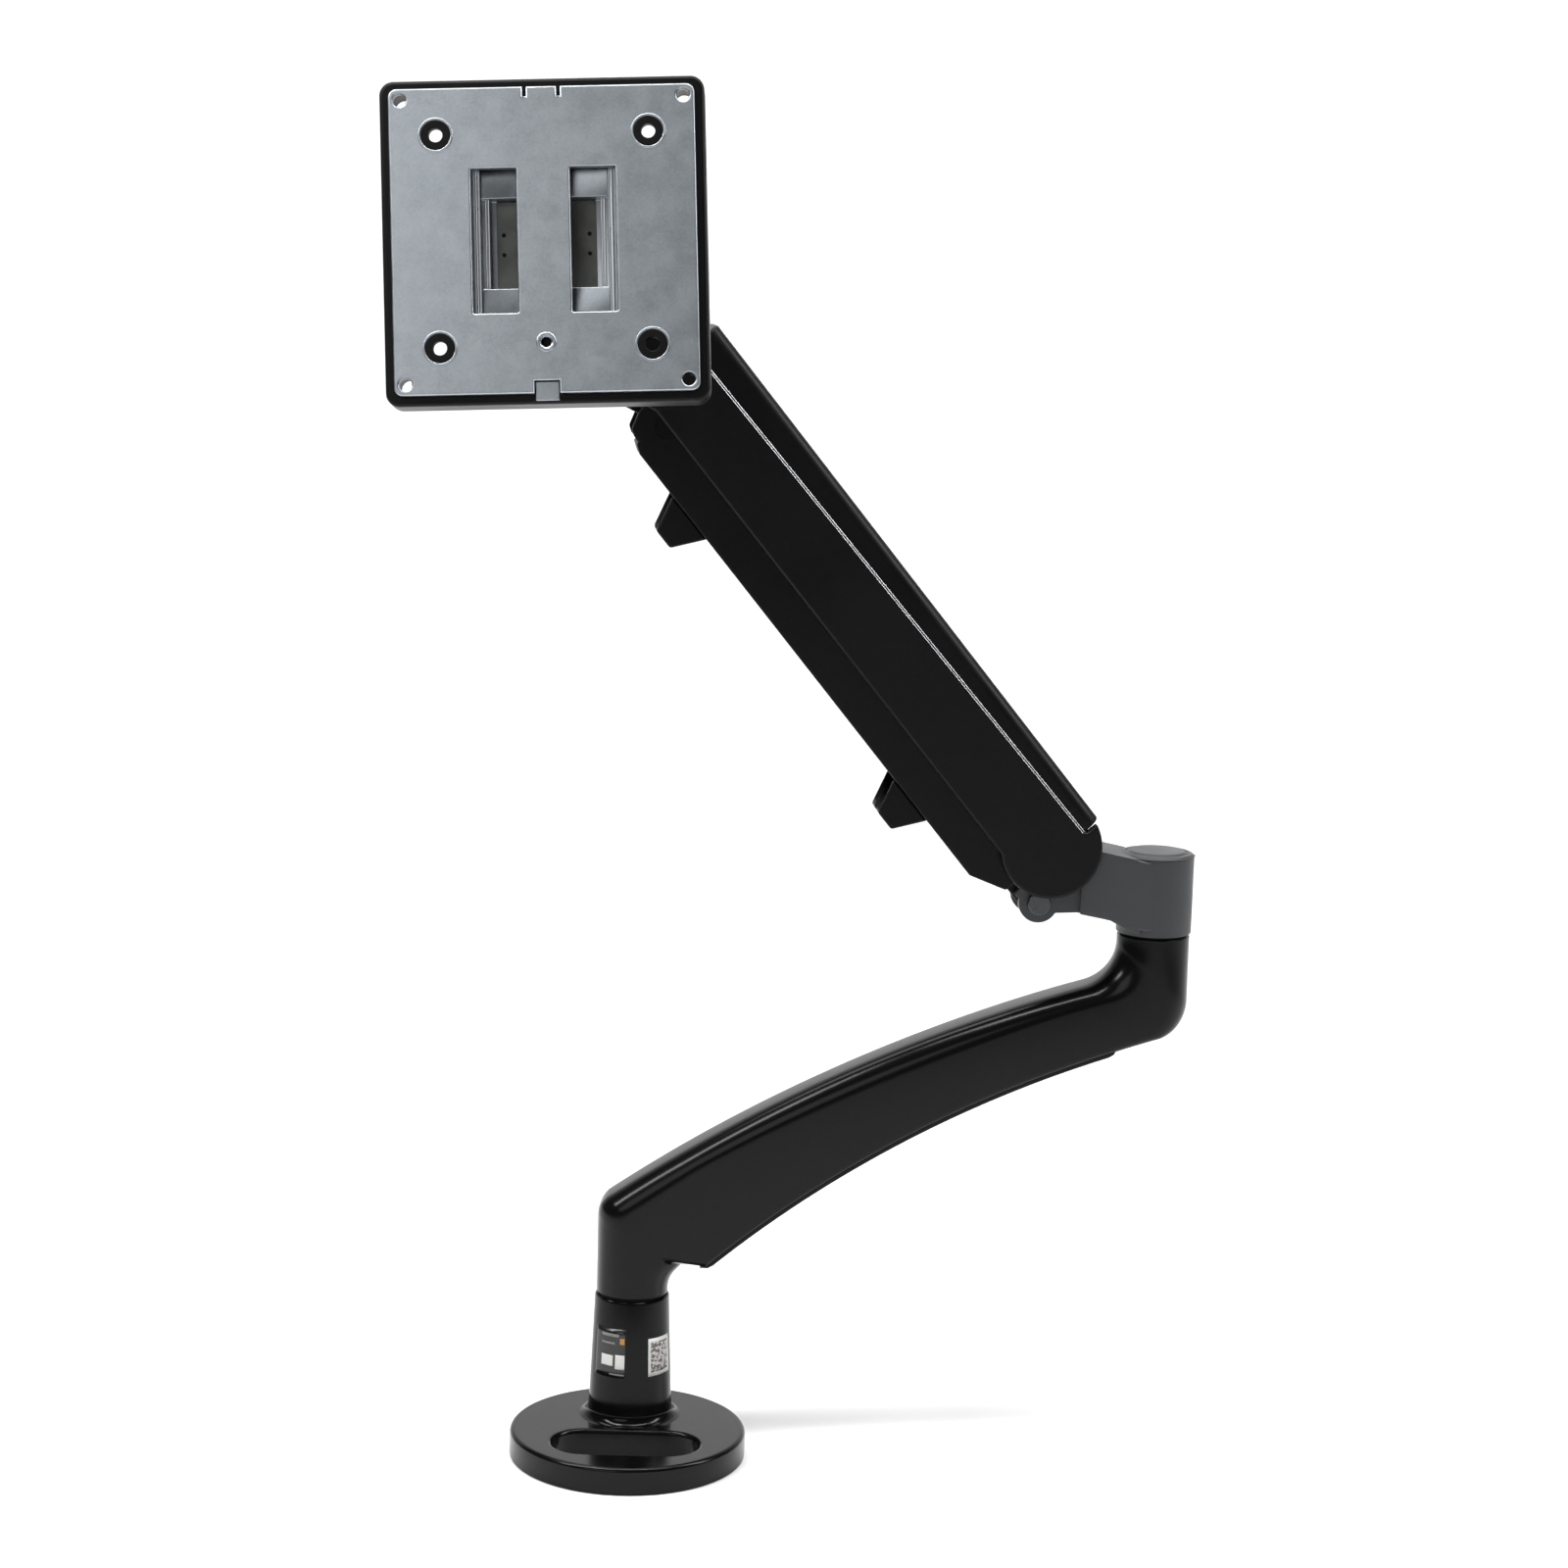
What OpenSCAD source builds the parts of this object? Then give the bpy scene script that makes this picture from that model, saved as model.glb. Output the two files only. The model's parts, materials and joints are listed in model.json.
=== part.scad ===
// Monitor arm: round desk base, curved cast lower arm, cast elbow knuckle, sprung parallel upper
// arm in two pressed channels, and a tilting, turning head with a quick-release steel plate.
// Frame: origin at the desk bolt's mouth under the column, +Z up, +X towards the elbow post,
// and the head plate faces -Y. Millimetres. The rest pose is the arm raised, head to the front.

/* [Base] */
// Diameter of the round base disc
base_d = 94; // [75:1:114]
// Thickness of the base disc
base_t = 11; // [8:0.5:14]
// How far the column stands behind the disc's centre
column_back = 16.4; // [14:0.2:20]
// Column diameter at its foot
column_foot_d = 34; // [32:0.5:38]
// Column diameter at its top
column_top_d = 29.8; // [28:0.2:34]
// Height of the column's top above the desk
column_top = 61.6; // [50:0.2:75]
// Length of the cable slot in the disc
slot_len = 58; // [46:1:64]
// Width of the cable slot in the disc
slot_w = 26; // [20:1:30]

/* [Lower arm] */
// Column axis to elbow axis
lower_len = 204; // [165:1:248]
// Height of the elbow post's top above the desk
post_top = 213.6; // [190:0.2:250]
// Width of the cast lower arm
arm_w = 28; // [24:0.5:32]
// Diameter of the socket and the elbow post
post_d = 28.8; // [27:0.2:32]
// Rise of the top edge's curve over its chord
top_sag = 7.9; // [5:0.1:10]
// Thickness of the cable cover under the lower arm
cover_t = 3; // [2:0.1:4]
// Turn of the lower arm about the column at rest, degrees
lower_swing = 2.1; // [-5:0.1:5]

/* [Elbow] */
// Diameter of the knuckle's hub
hub_d = 29.8; // [28:0.2:33]
// Height of the knuckle's hub
hub_h = 32; // [28:0.5:36]
// Elbow axis to the lift pivot
pivot_reach = 45.2; // [42:0.2:54]
// Lift pivot above the hub's underside
pivot_rise = 36; // [33:0.2:40]
// Turn of the upper arm off the straight fold at rest, degrees
upper_swing = 5; // [0:0.5:10]

/* [Upper arm] */
// Lift pivot to head pivot
upper_len = 236.4; // [190:0.2:284]
// Rise of the upper arm at rest, degrees
rise = 50.65; // [30:0.05:55]
// Outside width of the upper channel
chan_w = 38; // [37:0.5:46]
// Wall of the upper channel's cheeks
chan_t = 4; // [3:0.1:4]
// Radius of the upper channel's round ends
end_r = 20; // [18.5:0.1:22]
// Pivot line to the top of the plastic cover
cover_top = 21.5; // [20.6:0.1:24]
// Pivot line to the upper channel's lower edge
chan_low = 17; // [14:0.1:18]
// Depth of the lower channel below its own pivot line
link_low = 14.6; // [13:0.1:18]
// Outside width of the lower channel
link_w = 29.2; // [28.8:0.1:29.6]
// Wall of the lower channel
link_t = 2.2; // [1.6:0.1:2.4]
// Upper pivot to lower pivot, towards the head
link_dx = 3.3; // [2:0.1:5]
// Upper pivot to lower pivot, downwards
link_dz = 23; // [22:0.1:26]

/* [Head] */
// Head pivot to the head's swivel axis
head_reach = 44; // [40:0.5:52]
// Swivel axis to tilt axis, forwards
tilt_out = 38.7; // [34:0.1:46]
// Head pivot to tilt axis, upwards
tilt_up = 38.3; // [36:0.1:44]
// Tilt axis to the plate's face
plate_out = 48; // [46:0.5:56]
// Tilt of the plate at rest, degrees
plate_tilt = 8.8; // [0:0.1:20]
// Turn of the plate in its own plane at rest, degrees
plate_roll = 2.8; // [-5:0.1:5]
// Side of the square housing
housing_s = 115; // [112:1:138]
// Depth of the housing
housing_t = 17.5; // [15:0.5:20]
// Width of the black edge left around the steel plate
edge_w = 3.3; // [2:0.1:5]
// Thickness of the steel plate
plate_t = 4; // [3:0.5:5]

/* [Hidden] */
e = 0.01;
run = 0.05;               // radial clearance of a turning fit
seat = 0.04;              // diametral clearance of a seated pin
gap = 0.4;                // clearance between moving walls
shaft_d = 15;             // swivel shafts
bush_d = 19;              // bushes around the swivel shafts
washer_t = 0.8;
pin_d = 10;               // lift pivots
low_pin_d = 8;            // lower link pivots
eye_pin_d = 4;            // spring anchor pin at the knuckle
spring_pin_d = 6;         // spring pin at the head end
pad_t = 1.5;
arm_low = column_top + washer_t;
hub_low = post_top + washer_t;
pivot_z = hub_low + pivot_rise;
base_r = base_d / 2;
slot_c = -(base_r - slot_w / 2 - 16);  // slot centre in front of the disc centre
bolt_d = 8.5;             // thread core of the desk bolt
bolt_deep = 28;
boss_d = 34;              // bare metal boss around the desk bolt
screw_x = 10.5;
post_r = post_d / 2;
cheek_in = chan_w / 2 - chan_t;        // inner face of the upper cheeks
link_in = link_w / 2 - link_t;         // inner face of the lower cheeks
knuckle_w = 2 * (link_in - gap);       // knuckle and head lug inside the lower cheeks
boss_w = 2 * (cheek_in - gap);         // pivot bosses inside the upper cheeks
neck_w = min(hub_d - 0.8, boss_w);
tongue_out = 8.4;
tongue_in = 5.2;
fork_out = 4.8;
fork_in = 2.6;
eye_x = 9;
eye_z = -11;
eye_hole = eye_pin_d / 2 + 1.75;       // slack that opens the spring's loop
spring_u = upper_len - 32.4;
spring_v = -3;
shoulder = [-6, column_top + 44.1];    // ends of the lower arm's top edge
crown = [lower_len - 23.7, post_top - 19.8];
heel = [36, column_top + 18.3];        // ends of the lower arm's underside
toe = [lower_len - 9.7, post_top - 46.3];
hous_y = -(plate_out - plate_t + 0.6); // housing front, the plate stands proud of it
vesa = [37.5, 50];
turn_boss_d = 14.6;       // boss the housing turns on, between the window pockets
pocket_wall = 4.9;        // housing left behind the two window pockets
tray_y = hous_y + housing_t - pocket_wall;  // the trays stand on the pockets' floor

function centre(a, b, s) = let (c = norm(b - a), r = (c * c / 4 + s * s) / (2 * s), n = [-(b - a)[1], (b - a)[0]] / c)
  (a + b) / 2 - n * (r - s);
function radius(a, b, s) = let (c = norm(b - a)) (c * c / 4 + s * s) / (2 * s);
function ang(c, p) = atan2(p[1] - c[1], p[0] - c[0]);
function arc(c, r, a0, a1, n) = [for (i = [0 : n]) let (a = a0 + (a1 - a0) * i / n) c + r * [cos(a), sin(a)]];

top_c = centre(shoulder, crown, top_sag);
top_r = radius(shoulder, crown, top_sag);
under_c = centre(heel, toe, 8.7);
under_r = radius(heel, toe, 8.7);
under_a0 = ang(under_c, heel);
under_a1 = ang(under_c, toe);
crown_r = 24;             // hollow where the lower arm turns up into its post
crown_x = lower_len - post_r - crown_r;
crown_c = [crown_x, min(post_top - 1.6, top_c[1] + sqrt(pow(top_r + crown_r, 2) - pow(crown_x - top_c[0], 2)))];
function edge_v(u) = 14.1 - 5.2 * (u + 3.5) / (upper_len + 7);  // upper channel's top edge, under the cover

// ---- frames ----
module in_lower() { rotate([0, 0, lower_swing]) children(); }
module at_elbow() { in_lower() translate([lower_len, 0, 0]) rotate([0, 0, 180 + upper_swing - lower_swing]) children(); }
module in_arm() { at_elbow() translate([pivot_reach, 0, pivot_z]) rotate([0, -rise, 0]) children(); }
module in_link() { at_elbow() translate([pivot_reach + link_dx, 0, pivot_z - link_dz]) rotate([0, -rise, 0]) children(); }
module at_head() {
  at_elbow() translate([pivot_reach + upper_len * cos(rise), 0, pivot_z + upper_len * sin(rise)]) children();
}
module at_swivel() { at_head() translate([head_reach, 0, 0]) rotate([0, 0, 180 - upper_swing]) children(); }
module at_tilt() { at_swivel() translate([0, -tilt_out, tilt_up]) rotate([-plate_tilt, 0, 0]) children(); }
module in_plate() { at_tilt() rotate([0, -plate_roll, 0]) children(); }

// ---- helpers ----
module side(w) { rotate([90, 0, 0]) linear_extrude(height = w, center = true) children(); }
module across(d, w, n = 48) { rotate([90, 0, 0]) cylinder(d = d, h = w, center = true, $fn = n); }
module tube(d1, d2, h) { difference() { cylinder(d = d1, h = h, $fn = 64); translate([0, 0, -1]) cylinder(d = d2, h = h + 2, $fn = 64); } }
module rounded(w, h, r) {
  union() {
    square([w - 2 * r, h], center = true);
    square([w, h - 2 * r], center = true);
    for (x = [-1, 1], y = [-1, 1]) translate([x * (w / 2 - r), y * (h / 2 - r)]) circle(r = r, $fn = 32);
  }
}
module slot2d(l, w) {
  union() {
    square([l - w, w], center = true);
    for (x = [-1, 1]) translate([x * (l - w) / 2, 0]) circle(d = w, $fn = 48);
  }
}

// ---- base ----
module base_disc() {
  color("#1b1c1e") difference() {
    translate([0, -column_back, 0]) difference() {
      union() {
        cylinder(r = base_r, h = base_t - 1.2, $fn = 128);
        translate([0, 0, base_t - 1.2]) cylinder(r1 = base_r, r2 = base_r - 1.2, h = 1.2, $fn = 128);
      }
      translate([0, slot_c, -1]) linear_extrude(height = base_t + 2) slot2d(slot_len, slot_w);
      difference() {
        translate([0, 0, -1]) cylinder(r = base_r - 3, h = pad_t + 1, $fn = 96);
        translate([0, column_back, -2]) cylinder(d = boss_d, h = pad_t + 4, $fn = 64);
      }
    }
    translate([0, 0, -1]) cylinder(d = bolt_d, h = base_t + 2, $fn = 48);
    for (x = [-1, 1]) translate([x * screw_x, 0, 0]) {
      translate([0, 0, -1]) cylinder(d = 4.3, h = base_t + 2, $fn = 32);
      translate([0, 0, -1]) cylinder(d = 8.4, h = 1 + pad_t + 3.6, $fn = 32);
    }
  }
}
module base_pad() {
  color("#2a2a2c") difference() {
    translate([0, -column_back, 0]) cylinder(r = base_r - 3.2, h = pad_t, $fn = 96);
    translate([0, slot_c - column_back, -1]) linear_extrude(height = 5) slot2d(slot_len + 2, slot_w + 2);
    translate([0, 0, -1]) cylinder(d = boss_d + 0.4, h = 5, $fn = 64);
  }
}
module base_column() {
  color("#141516") difference() {
    union() {
      translate([0, 0, base_t]) cylinder(d1 = column_foot_d, d2 = column_top_d, h = column_top - base_t - 0.8, $fn = 96);
      translate([0, 0, column_top - 0.8]) cylinder(d1 = column_top_d, d2 = column_top_d - 1.6, h = 0.8, $fn = 96);
      translate([0, 0, base_t]) cylinder(d1 = column_foot_d + 4, d2 = column_foot_d - 0.4, h = 2.4, $fn = 96);
    }
    translate([0, 0, base_t - 1]) cylinder(d = bolt_d, h = bolt_deep - base_t + 1, $fn = 48);
    translate([0, 0, column_top - 24]) cylinder(d = shaft_d, h = 30, $fn = 64);
    for (x = [-1, 1]) translate([x * screw_x, 0, base_t - 1]) cylinder(d = 4, h = 14, $fn = 32);
  }
}
module column_screw(x) {
  color("#8d9094") translate([x, 0, pad_t]) difference() {
    union() {
      cylinder(d = 8, h = 3.2, $fn = 32);
      cylinder(d = 4, h = base_t - pad_t + 12, $fn = 32);
    }
    translate([0, 0, -1]) cylinder(d = 4, h = 3, $fn = 6);
  }
}
module column_screw_left() { column_screw(-screw_x); }
module column_screw_right() { column_screw(screw_x); }
module base_shaft() {
  color("#9a9c9f") translate([0, 0, column_top - 24]) cylinder(d = shaft_d, h = 52, $fn = 64);
}
module base_washer() { color("#303133") translate([0, 0, column_top]) tube(27, shaft_d + 0.4, washer_t - 0.05); }
module label_on_column(a, z0, h, w) {
  d0 = column_foot_d + (column_top_d - column_foot_d) * (z0 - base_t) / (column_top - base_t);
  d1 = column_foot_d + (column_top_d - column_foot_d) * (z0 + h - base_t) / (column_top - base_t);
  translate([0, 0, z0]) rotate([0, 0, a]) intersection() {
    difference() {
      cylinder(d1 = d0 + 0.3, d2 = d1 + 0.3, h = h, $fn = 96);
      translate([0, 0, -e]) cylinder(d1 = d0, d2 = d1, h = h + 2 * e, $fn = 96);
    }
    translate([0, -w / 2, -1]) cube([40, w, h + 2]);
  }
}
module front_label() { color("#d9d9d4") label_on_column(-122, 30.5, 20, 14.5); }
module side_label() { color("#e9e9ea") label_on_column(-40, 31, 15.5, 12); }

// ---- lower arm ----
module arm_section() {
  // the cast section swept along the top edge's arc, its top corners rounded
  translate([top_c[0], 0, top_c[1]]) rotate([90, 0, 0]) rotate([0, 0, ang(top_c, crown) - 7]) rotate_extrude(angle = 34, $fn = 96) {
    translate([top_r - 70, -arm_w / 2]) square([61, arm_w]);
    translate([top_r - 20, -(arm_w / 2 - 9)]) square([20, arm_w - 18]);
    for (y = [-1, 1]) translate([top_r - 9, y * (arm_w / 2 - 9)]) circle(r = 9, $fn = 48);
  }
}
module arm_outline() {
  polygon(concat([[-post_r, arm_low], [-post_r, shoulder[1] - 12.4], [-11.8, shoulder[1] - 6.2], shoulder,
    shoulder + [20, 30], [lower_len - 20, post_top + 20], [lower_len + 2, post_top + 10], [lower_len + 2, toe[1] + 5]],
    arc(under_c, under_r + cover_t, under_a1, under_a0, 24),
    [[23.5, arm_low + 17], [19.6, arm_low + 11], [post_r + 0.6, arm_low + 4.5], [post_r, arm_low]]));
}
module arm_duct() {
  // cable channel open to the underside
  polygon(concat(arc(under_c, under_r - 3, under_a0, under_a1, 20),
    arc(top_c, top_r - 11, ang(top_c, crown) - 0.2, ang(top_c, shoulder) - 3.6, 20)));
}
module lower_arm() {
  color("#1d1d1f") in_lower() difference() {
    union() {
      intersection() {
        arm_section();
        side(arm_w + 10) arm_outline();
      }
      translate([0, 0, arm_low]) cylinder(d = post_d, h = shoulder[1] - 14 - arm_low, $fn = 96);
      translate([lower_len, 0, toe[1] + 9]) cylinder(d = post_d, h = post_top - toe[1] - 9, $fn = 96);
      translate([lower_len, 0, toe[1] + 6.5]) cylinder(d1 = post_d - 5, d2 = post_d, h = 2.5 + e, $fn = 96);
      side(arm_w - 8) difference() {
        translate([crown_c[0], crown_c[1] - crown_r - 8]) square([crown_r + 5, crown_r + 8]);
        translate(crown_c) circle(r = crown_r, $fn = 96);
      }
    }
    side(arm_w - 10) arm_duct();
    translate([0, 0, arm_low - 1]) cylinder(d = bush_d, h = 30, $fn = 64);
    translate([lower_len, 0, post_top - 27]) cylinder(d = bush_d, h = 28, $fn = 64);
    translate([0, 0, arm_low + 12]) rotate([-90, 0, 0]) cylinder(d = 5, h = 30, $fn = 32);
    for (t = [0.12, 0.88]) cover_screw_hole(t, 3, 8);
  }
}
module cover_screw_hole(t, d, h) {
  a = under_a0 + (under_a1 - under_a0) * t;
  translate([under_c[0], 0, under_c[1]]) rotate([0, 90 - a, 0]) translate([0, 0, under_r + cover_t + 1]) cylinder(d = d, h = h, $fn = 32);
}
module cable_cover() {
  color("#17181a") in_lower() difference() {
    union() {
      side(arm_w - 3) polygon(concat(arc(under_c, under_r, under_a1 - 0.9, under_a0 + 0.4, 24),
        arc(under_c, under_r + cover_t - 0.1, under_a0, under_a1, 24)));
      side(arm_w - 10.6) polygon(concat(arc(under_c, under_r + 1, under_a1 + 1, under_a0 - 1, 24),
        arc(under_c, under_r + cover_t + 5, under_a0 - 1, under_a1 + 1, 24)));
    }
    side(arm_w - 13) polygon(concat(arc(under_c, under_r + cover_t, under_a1 + 4, under_a0 - 4, 24),
      arc(under_c, under_r + cover_t + 9, under_a0 - 4, under_a1 + 4, 24)));
    for (t = [0.12, 0.88]) cover_hole(t);
  }
}
module cover_hole(t) {
  a = under_a0 + (under_a1 - under_a0) * t;
  translate([under_c[0], 0, under_c[1]]) rotate([0, 90 - a, 0]) {
    translate([0, 0, under_r - 2]) cylinder(d = 3.2, h = 14, $fn = 32);
    translate([0, 0, under_r - 2]) cylinder(d = 6.2, h = 4.2, $fn = 32);
  }
}
module cover_screw(t) {
  a = under_a0 + (under_a1 - under_a0) * t;
  color("#6f7174") in_lower() translate([under_c[0], 0, under_c[1]]) rotate([0, 90 - a, 0]) difference() {
    union() {
      translate([0, 0, under_r + 0.4]) cylinder(d = 5.8, h = 1.8, $fn = 32);
      translate([0, 0, under_r + 1]) cylinder(d = 3, h = 10, $fn = 32);
    }
    translate([0, 0, under_r - 1]) cylinder(d = 2.4, h = 2.4, $fn = 6);
  }
}
module cover_screw_low() { cover_screw(0.12); }
module cover_screw_high() { cover_screw(0.88); }
module base_bush() { color("#c9c9c4") translate([0, 0, arm_low + 0.2]) tube(bush_d, shaft_d + 2 * run, 27); }
module base_friction_screw() {
  color("#5c5e61") in_lower() translate([0, 0, arm_low + 12]) rotate([-90, 0, 0]) difference() {
    translate([0, 0, bush_d / 2 + 0.05]) cylinder(d = 5, h = post_r - bush_d / 2 - 0.6, $fn = 32);
    translate([0, 0, post_r - 2.4]) cylinder(d = 2.5, h = 4, $fn = 6);
  }
}
module elbow_bush() { color("#c9c9c4") in_lower() translate([lower_len, 0, post_top - 26.4]) tube(bush_d, shaft_d + 2 * run, 26.2); }
module elbow_washer() { color("#303133") in_lower() translate([lower_len, 0, post_top]) tube(27, shaft_d + 0.4, washer_t - 0.05); }

// ---- knuckle ----
module knuckle_outline() {
  // side view from the elbow axis, heights from the lift pivot
  x = pivot_reach;
  union() {
    polygon([[8, -pivot_rise + 1.5], [14, -pivot_rise + 3.5], [20, -link_dz - 6.2], [x - 12, -link_dz - 3.6], [x, -link_dz - 4],
      [x + 5.3, -link_dz - 4.8], [x + 13, -link_dz + 3.6], [x + 8, -link_dz + 9], [x + 6.5, -7], [x, -0.5], [x - 14, -0.4], [10, -4.9]]);
    translate([x, 0]) circle(r = 11.5, $fn = 64);
    translate([x + link_dx, -link_dz]) circle(r = 7.8, $fn = 64);
  }
}
module knuckle_slot() {
  translate([pivot_reach, 0]) union() {
    polygon([[link_dx - 9.8, -link_dz], [link_dx - 9.8, -60], [60, -60], [60, 24], [7, 24], [5, 5], [0, -3], [link_dx - 9.8, -12]]);
    translate([link_dx, -link_dz]) circle(r = 9.8, $fn = 64);
  }
}
module knuckle() {
  color("#4b4c4e") at_elbow() translate([0, 0, pivot_z]) difference() {
    union() {
      translate([0, 0, -pivot_rise]) cylinder(d = hub_d, h = hub_h - 1, $fn = 96);
      translate([0, 0, -pivot_rise + hub_h - 1 - e]) cylinder(d1 = hub_d, d2 = hub_d - 2, h = 1 + e, $fn = 96);
      side(knuckle_w) knuckle_outline();
      side(neck_w) intersection() {
        knuckle_outline();
        translate([0, -60]) square([pivot_reach - 13, 80]);
      }
      translate([pivot_reach, 0, 0]) across(15, boss_w, 64);
    }
    side(2 * (tongue_out + 0.2)) difference() {
      knuckle_slot();
      translate([pivot_reach, 0]) circle(r = 9, $fn = 64);
    }
    side(2 * (fork_out + 0.3)) difference() {
      knuckle_slot();
      translate([pivot_reach, 0]) circle(r = 6.8, $fn = 64);
    }
    side(2 * (fork_in - 0.3)) translate([pivot_reach, 0]) circle(r = 9, $fn = 64);
    translate([pivot_reach, 0, 0]) across(pin_d + seat, 60, 64);
    translate([pivot_reach + link_dx, 0, -link_dz]) across(low_pin_d + seat, 60, 48);
    translate([0, 0, -pivot_rise - 1]) cylinder(d = shaft_d, h = 26, $fn = 64);
    translate([0, 0, -pivot_rise + hub_h - 3]) cylinder(d = hub_d - 5, h = 5, $fn = 64);
    translate([0, 0, -pivot_rise + 10]) rotate([0, -90, 0]) cylinder(d = 5, h = 30, $fn = 32);
  }
}
module hub_cap() {
  color("#515254") at_elbow() translate([0, 0, pivot_z - pivot_rise + hub_h - 3]) {
    cylinder(d = hub_d - 5.1, h = 2.8, $fn = 64);
    translate([0, 0, 2.8 - e]) cylinder(d1 = hub_d - 5.6, d2 = hub_d - 8, h = 0.9, $fn = 64);
  }
}
module elbow_shaft() { color("#9a9c9f") at_elbow() translate([0, 0, post_top - 24]) cylinder(d = shaft_d, h = 24 + washer_t + 24.5, $fn = 64); }
module elbow_friction_screw() {
  color("#5c5e61") at_elbow() translate([0, 0, hub_low + 10]) rotate([0, -90, 0]) difference() {
    translate([0, 0, shaft_d / 2 + 0.05]) cylinder(d = 5, h = hub_d / 2 - shaft_d / 2 - 0.6, $fn = 32);
    translate([0, 0, hub_d / 2 - 3]) cylinder(d = 2.5, h = 4, $fn = 6);
  }
}
module lift_pin() { color("#9a9c9f") in_arm() across(pin_d, chan_w - 3, 64); }
module link_pin() {
  color("#a9abae") in_link() {
    across(low_pin_d, knuckle_w, 48);
    for (s = [-1, 1]) translate([0, s * (knuckle_w / 2 + 1.2), 0]) across(9, 2.4, 48);
  }
}
module spring_anchor() {
  color("#86888b") at_elbow() translate([pivot_reach, 0, pivot_z]) difference() {
    side(2 * (fork_in - 0.4)) union() {
      circle(r = 8.8, $fn = 64);
      polygon([[8.8, 0], [eye_x + 3.4, eye_z + 1], [eye_x - 3, eye_z - 2.6], [-2, -8]]);
      translate([eye_x, eye_z]) circle(r = 4.2, $fn = 48);
    }
    across(pin_d + 0.1, 20, 64);
    translate([eye_x, 0, eye_z]) across(eye_pin_d, 20, 32);
  }
}
module anchor_pin() { color("#b4b6b9") at_elbow() translate([pivot_reach + eye_x, 0, pivot_z + eye_z]) across(eye_pin_d, 2 * (fork_out + 0.1), 32); }

// ---- upper arm ----
module chan_outline() {
  difference() {
    union() {
      circle(r = end_r, $fn = 96);
      translate([upper_len, 0]) circle(r = end_r - 1, $fn = 96);
      polygon([[0, -chan_low], [upper_len, -chan_low], [upper_len, 9], [0, 14]]);
    }
    polygon([[-3.5, edge_v(-3.5)], [upper_len + 3.5, edge_v(upper_len + 3.5)], [upper_len + 3.5, 40], [-3.5, 40]]);
  }
}
module upper_channel() {
  color("#2c2d2f") in_arm() difference() {
    side(chan_w) chan_outline();
    side(2 * cheek_in) difference() {
      translate([-60, -60]) square([upper_len + 120, 120]);
      polygon([[16, 10.6], [upper_len - 16, 6.2], [upper_len - 16, 20], [16, 20]]);
    }
    translate([0, -1.2, 0]) across(pin_d + 2 * run, chan_w, 64);
    translate([upper_len, -1.2, 0]) across(pin_d + 2 * run, chan_w, 64);
    translate([spring_u, -1.5, spring_v]) across(spring_pin_d, chan_w, 48);
  }
}
module top_cover() {
  color("#242527") in_arm() difference() {
    translate([-3, 0, 0]) rotate([90, 0, 90]) linear_extrude(height = upper_len + 6) {
      translate([-(chan_w / 2 - 1), 0]) square([chan_w - 2, cover_top - 5]);
      translate([-(chan_w / 2 - 6), 0]) square([chan_w - 12, cover_top]);
      for (s = [-1, 1]) translate([s * (chan_w / 2 - 6), cover_top - 5]) circle(r = 5, $fn = 48);
    }
    side(80) polygon([[-10, -10], [-10, edge_v(-10) + 0.02], [upper_len + 10, edge_v(upper_len + 10) + 0.02],
      [upper_len + 10, -10]]);
    side(chan_w - 7) polygon([[-1, 0], [-1, cover_top - 2.4], [upper_len + 1, cover_top - 2.4], [upper_len + 1, 0]]);
    side(2 * cheek_in) polygon([[-10, 0], [-10, cover_top - 2.4], [14, cover_top - 2.4], [14, 0]]);
    side(2 * cheek_in) polygon([[upper_len - 14, 0], [upper_len - 14, cover_top - 2.4], [upper_len + 10, cover_top - 2.4], [upper_len + 10, 0]]);
  }
}
module pin_plug(u) { color("#1f2022") in_arm() translate([u, -(chan_w / 2 - 0.7), 0]) across(pin_d, 1, 64); }
module lift_pin_plug() { pin_plug(0); }
module head_pin_plug() { pin_plug(upper_len); }
module spring_pin() { color("#9a9c9f") in_arm() translate([spring_u, 0, spring_v]) across(spring_pin_d, chan_w - 3.2, 48); }
module head_pin() { color("#9a9c9f") in_arm() translate([upper_len, 0, 0]) across(pin_d, chan_w - 3, 64); }

// ---- lower link ----
module link_outline() {
  polygon([[12.8, -7], [26.5, -link_low], [upper_len - 2, -link_low], [upper_len + 7.6, -11], [upper_len + 11.5, -4],
    [upper_len + 11.5, 7], [24, 7], [16.5, 1.5], [12.8, 1.5]]);
}
module lower_channel() {
  color("#2a2b2d") in_link() difference() {
    union() {
      difference() {
        side(link_w) link_outline();
        side(2 * link_in) polygon([[16, -5.6], [27.2, -link_low + link_t], [upper_len + 20, -link_low + link_t], [upper_len + 20, 20], [16, 20]]);
      }
      side(2 * tongue_out) union() {
        circle(r = 6.2, $fn = 64);
        polygon([[0, -6], [15, -6.4], [15, 6], [0, 6]]);
      }
    }
    side(2 * tongue_in) polygon([[-10, -6.6], [14, -8.4], [17, -8.4], [17, 20], [-10, 20]]);
    side(2 * tongue_in) polygon([[-10, -20], [-10, 20], [12, 20], [12, -20]]);
    across(low_pin_d + 2 * run, 60, 48);
    translate([upper_len, 0, 0]) across(low_pin_d + 2 * run, 60, 48);
    translate([upper_len + 2, -30, -link_low - 1]) cube([30, 60, link_t + 1.4]);
  }
}
module cable_clip(u) {
  color("#161718") in_link() translate([u, 0, -link_low]) difference() {
    side(24) polygon([[-10.5, 0], [-4.4, -13], [4, -13], [10.5, 0]]);
    translate([0, 0, -5.4]) cube([40, 19, 9.2], center = true);
    translate([0, 0, -12]) cube([40, 5, 8], center = true);
  }
}
module clip_high() { cable_clip(upper_len - 32.8); }
module clip_low() { cable_clip(64); }
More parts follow.
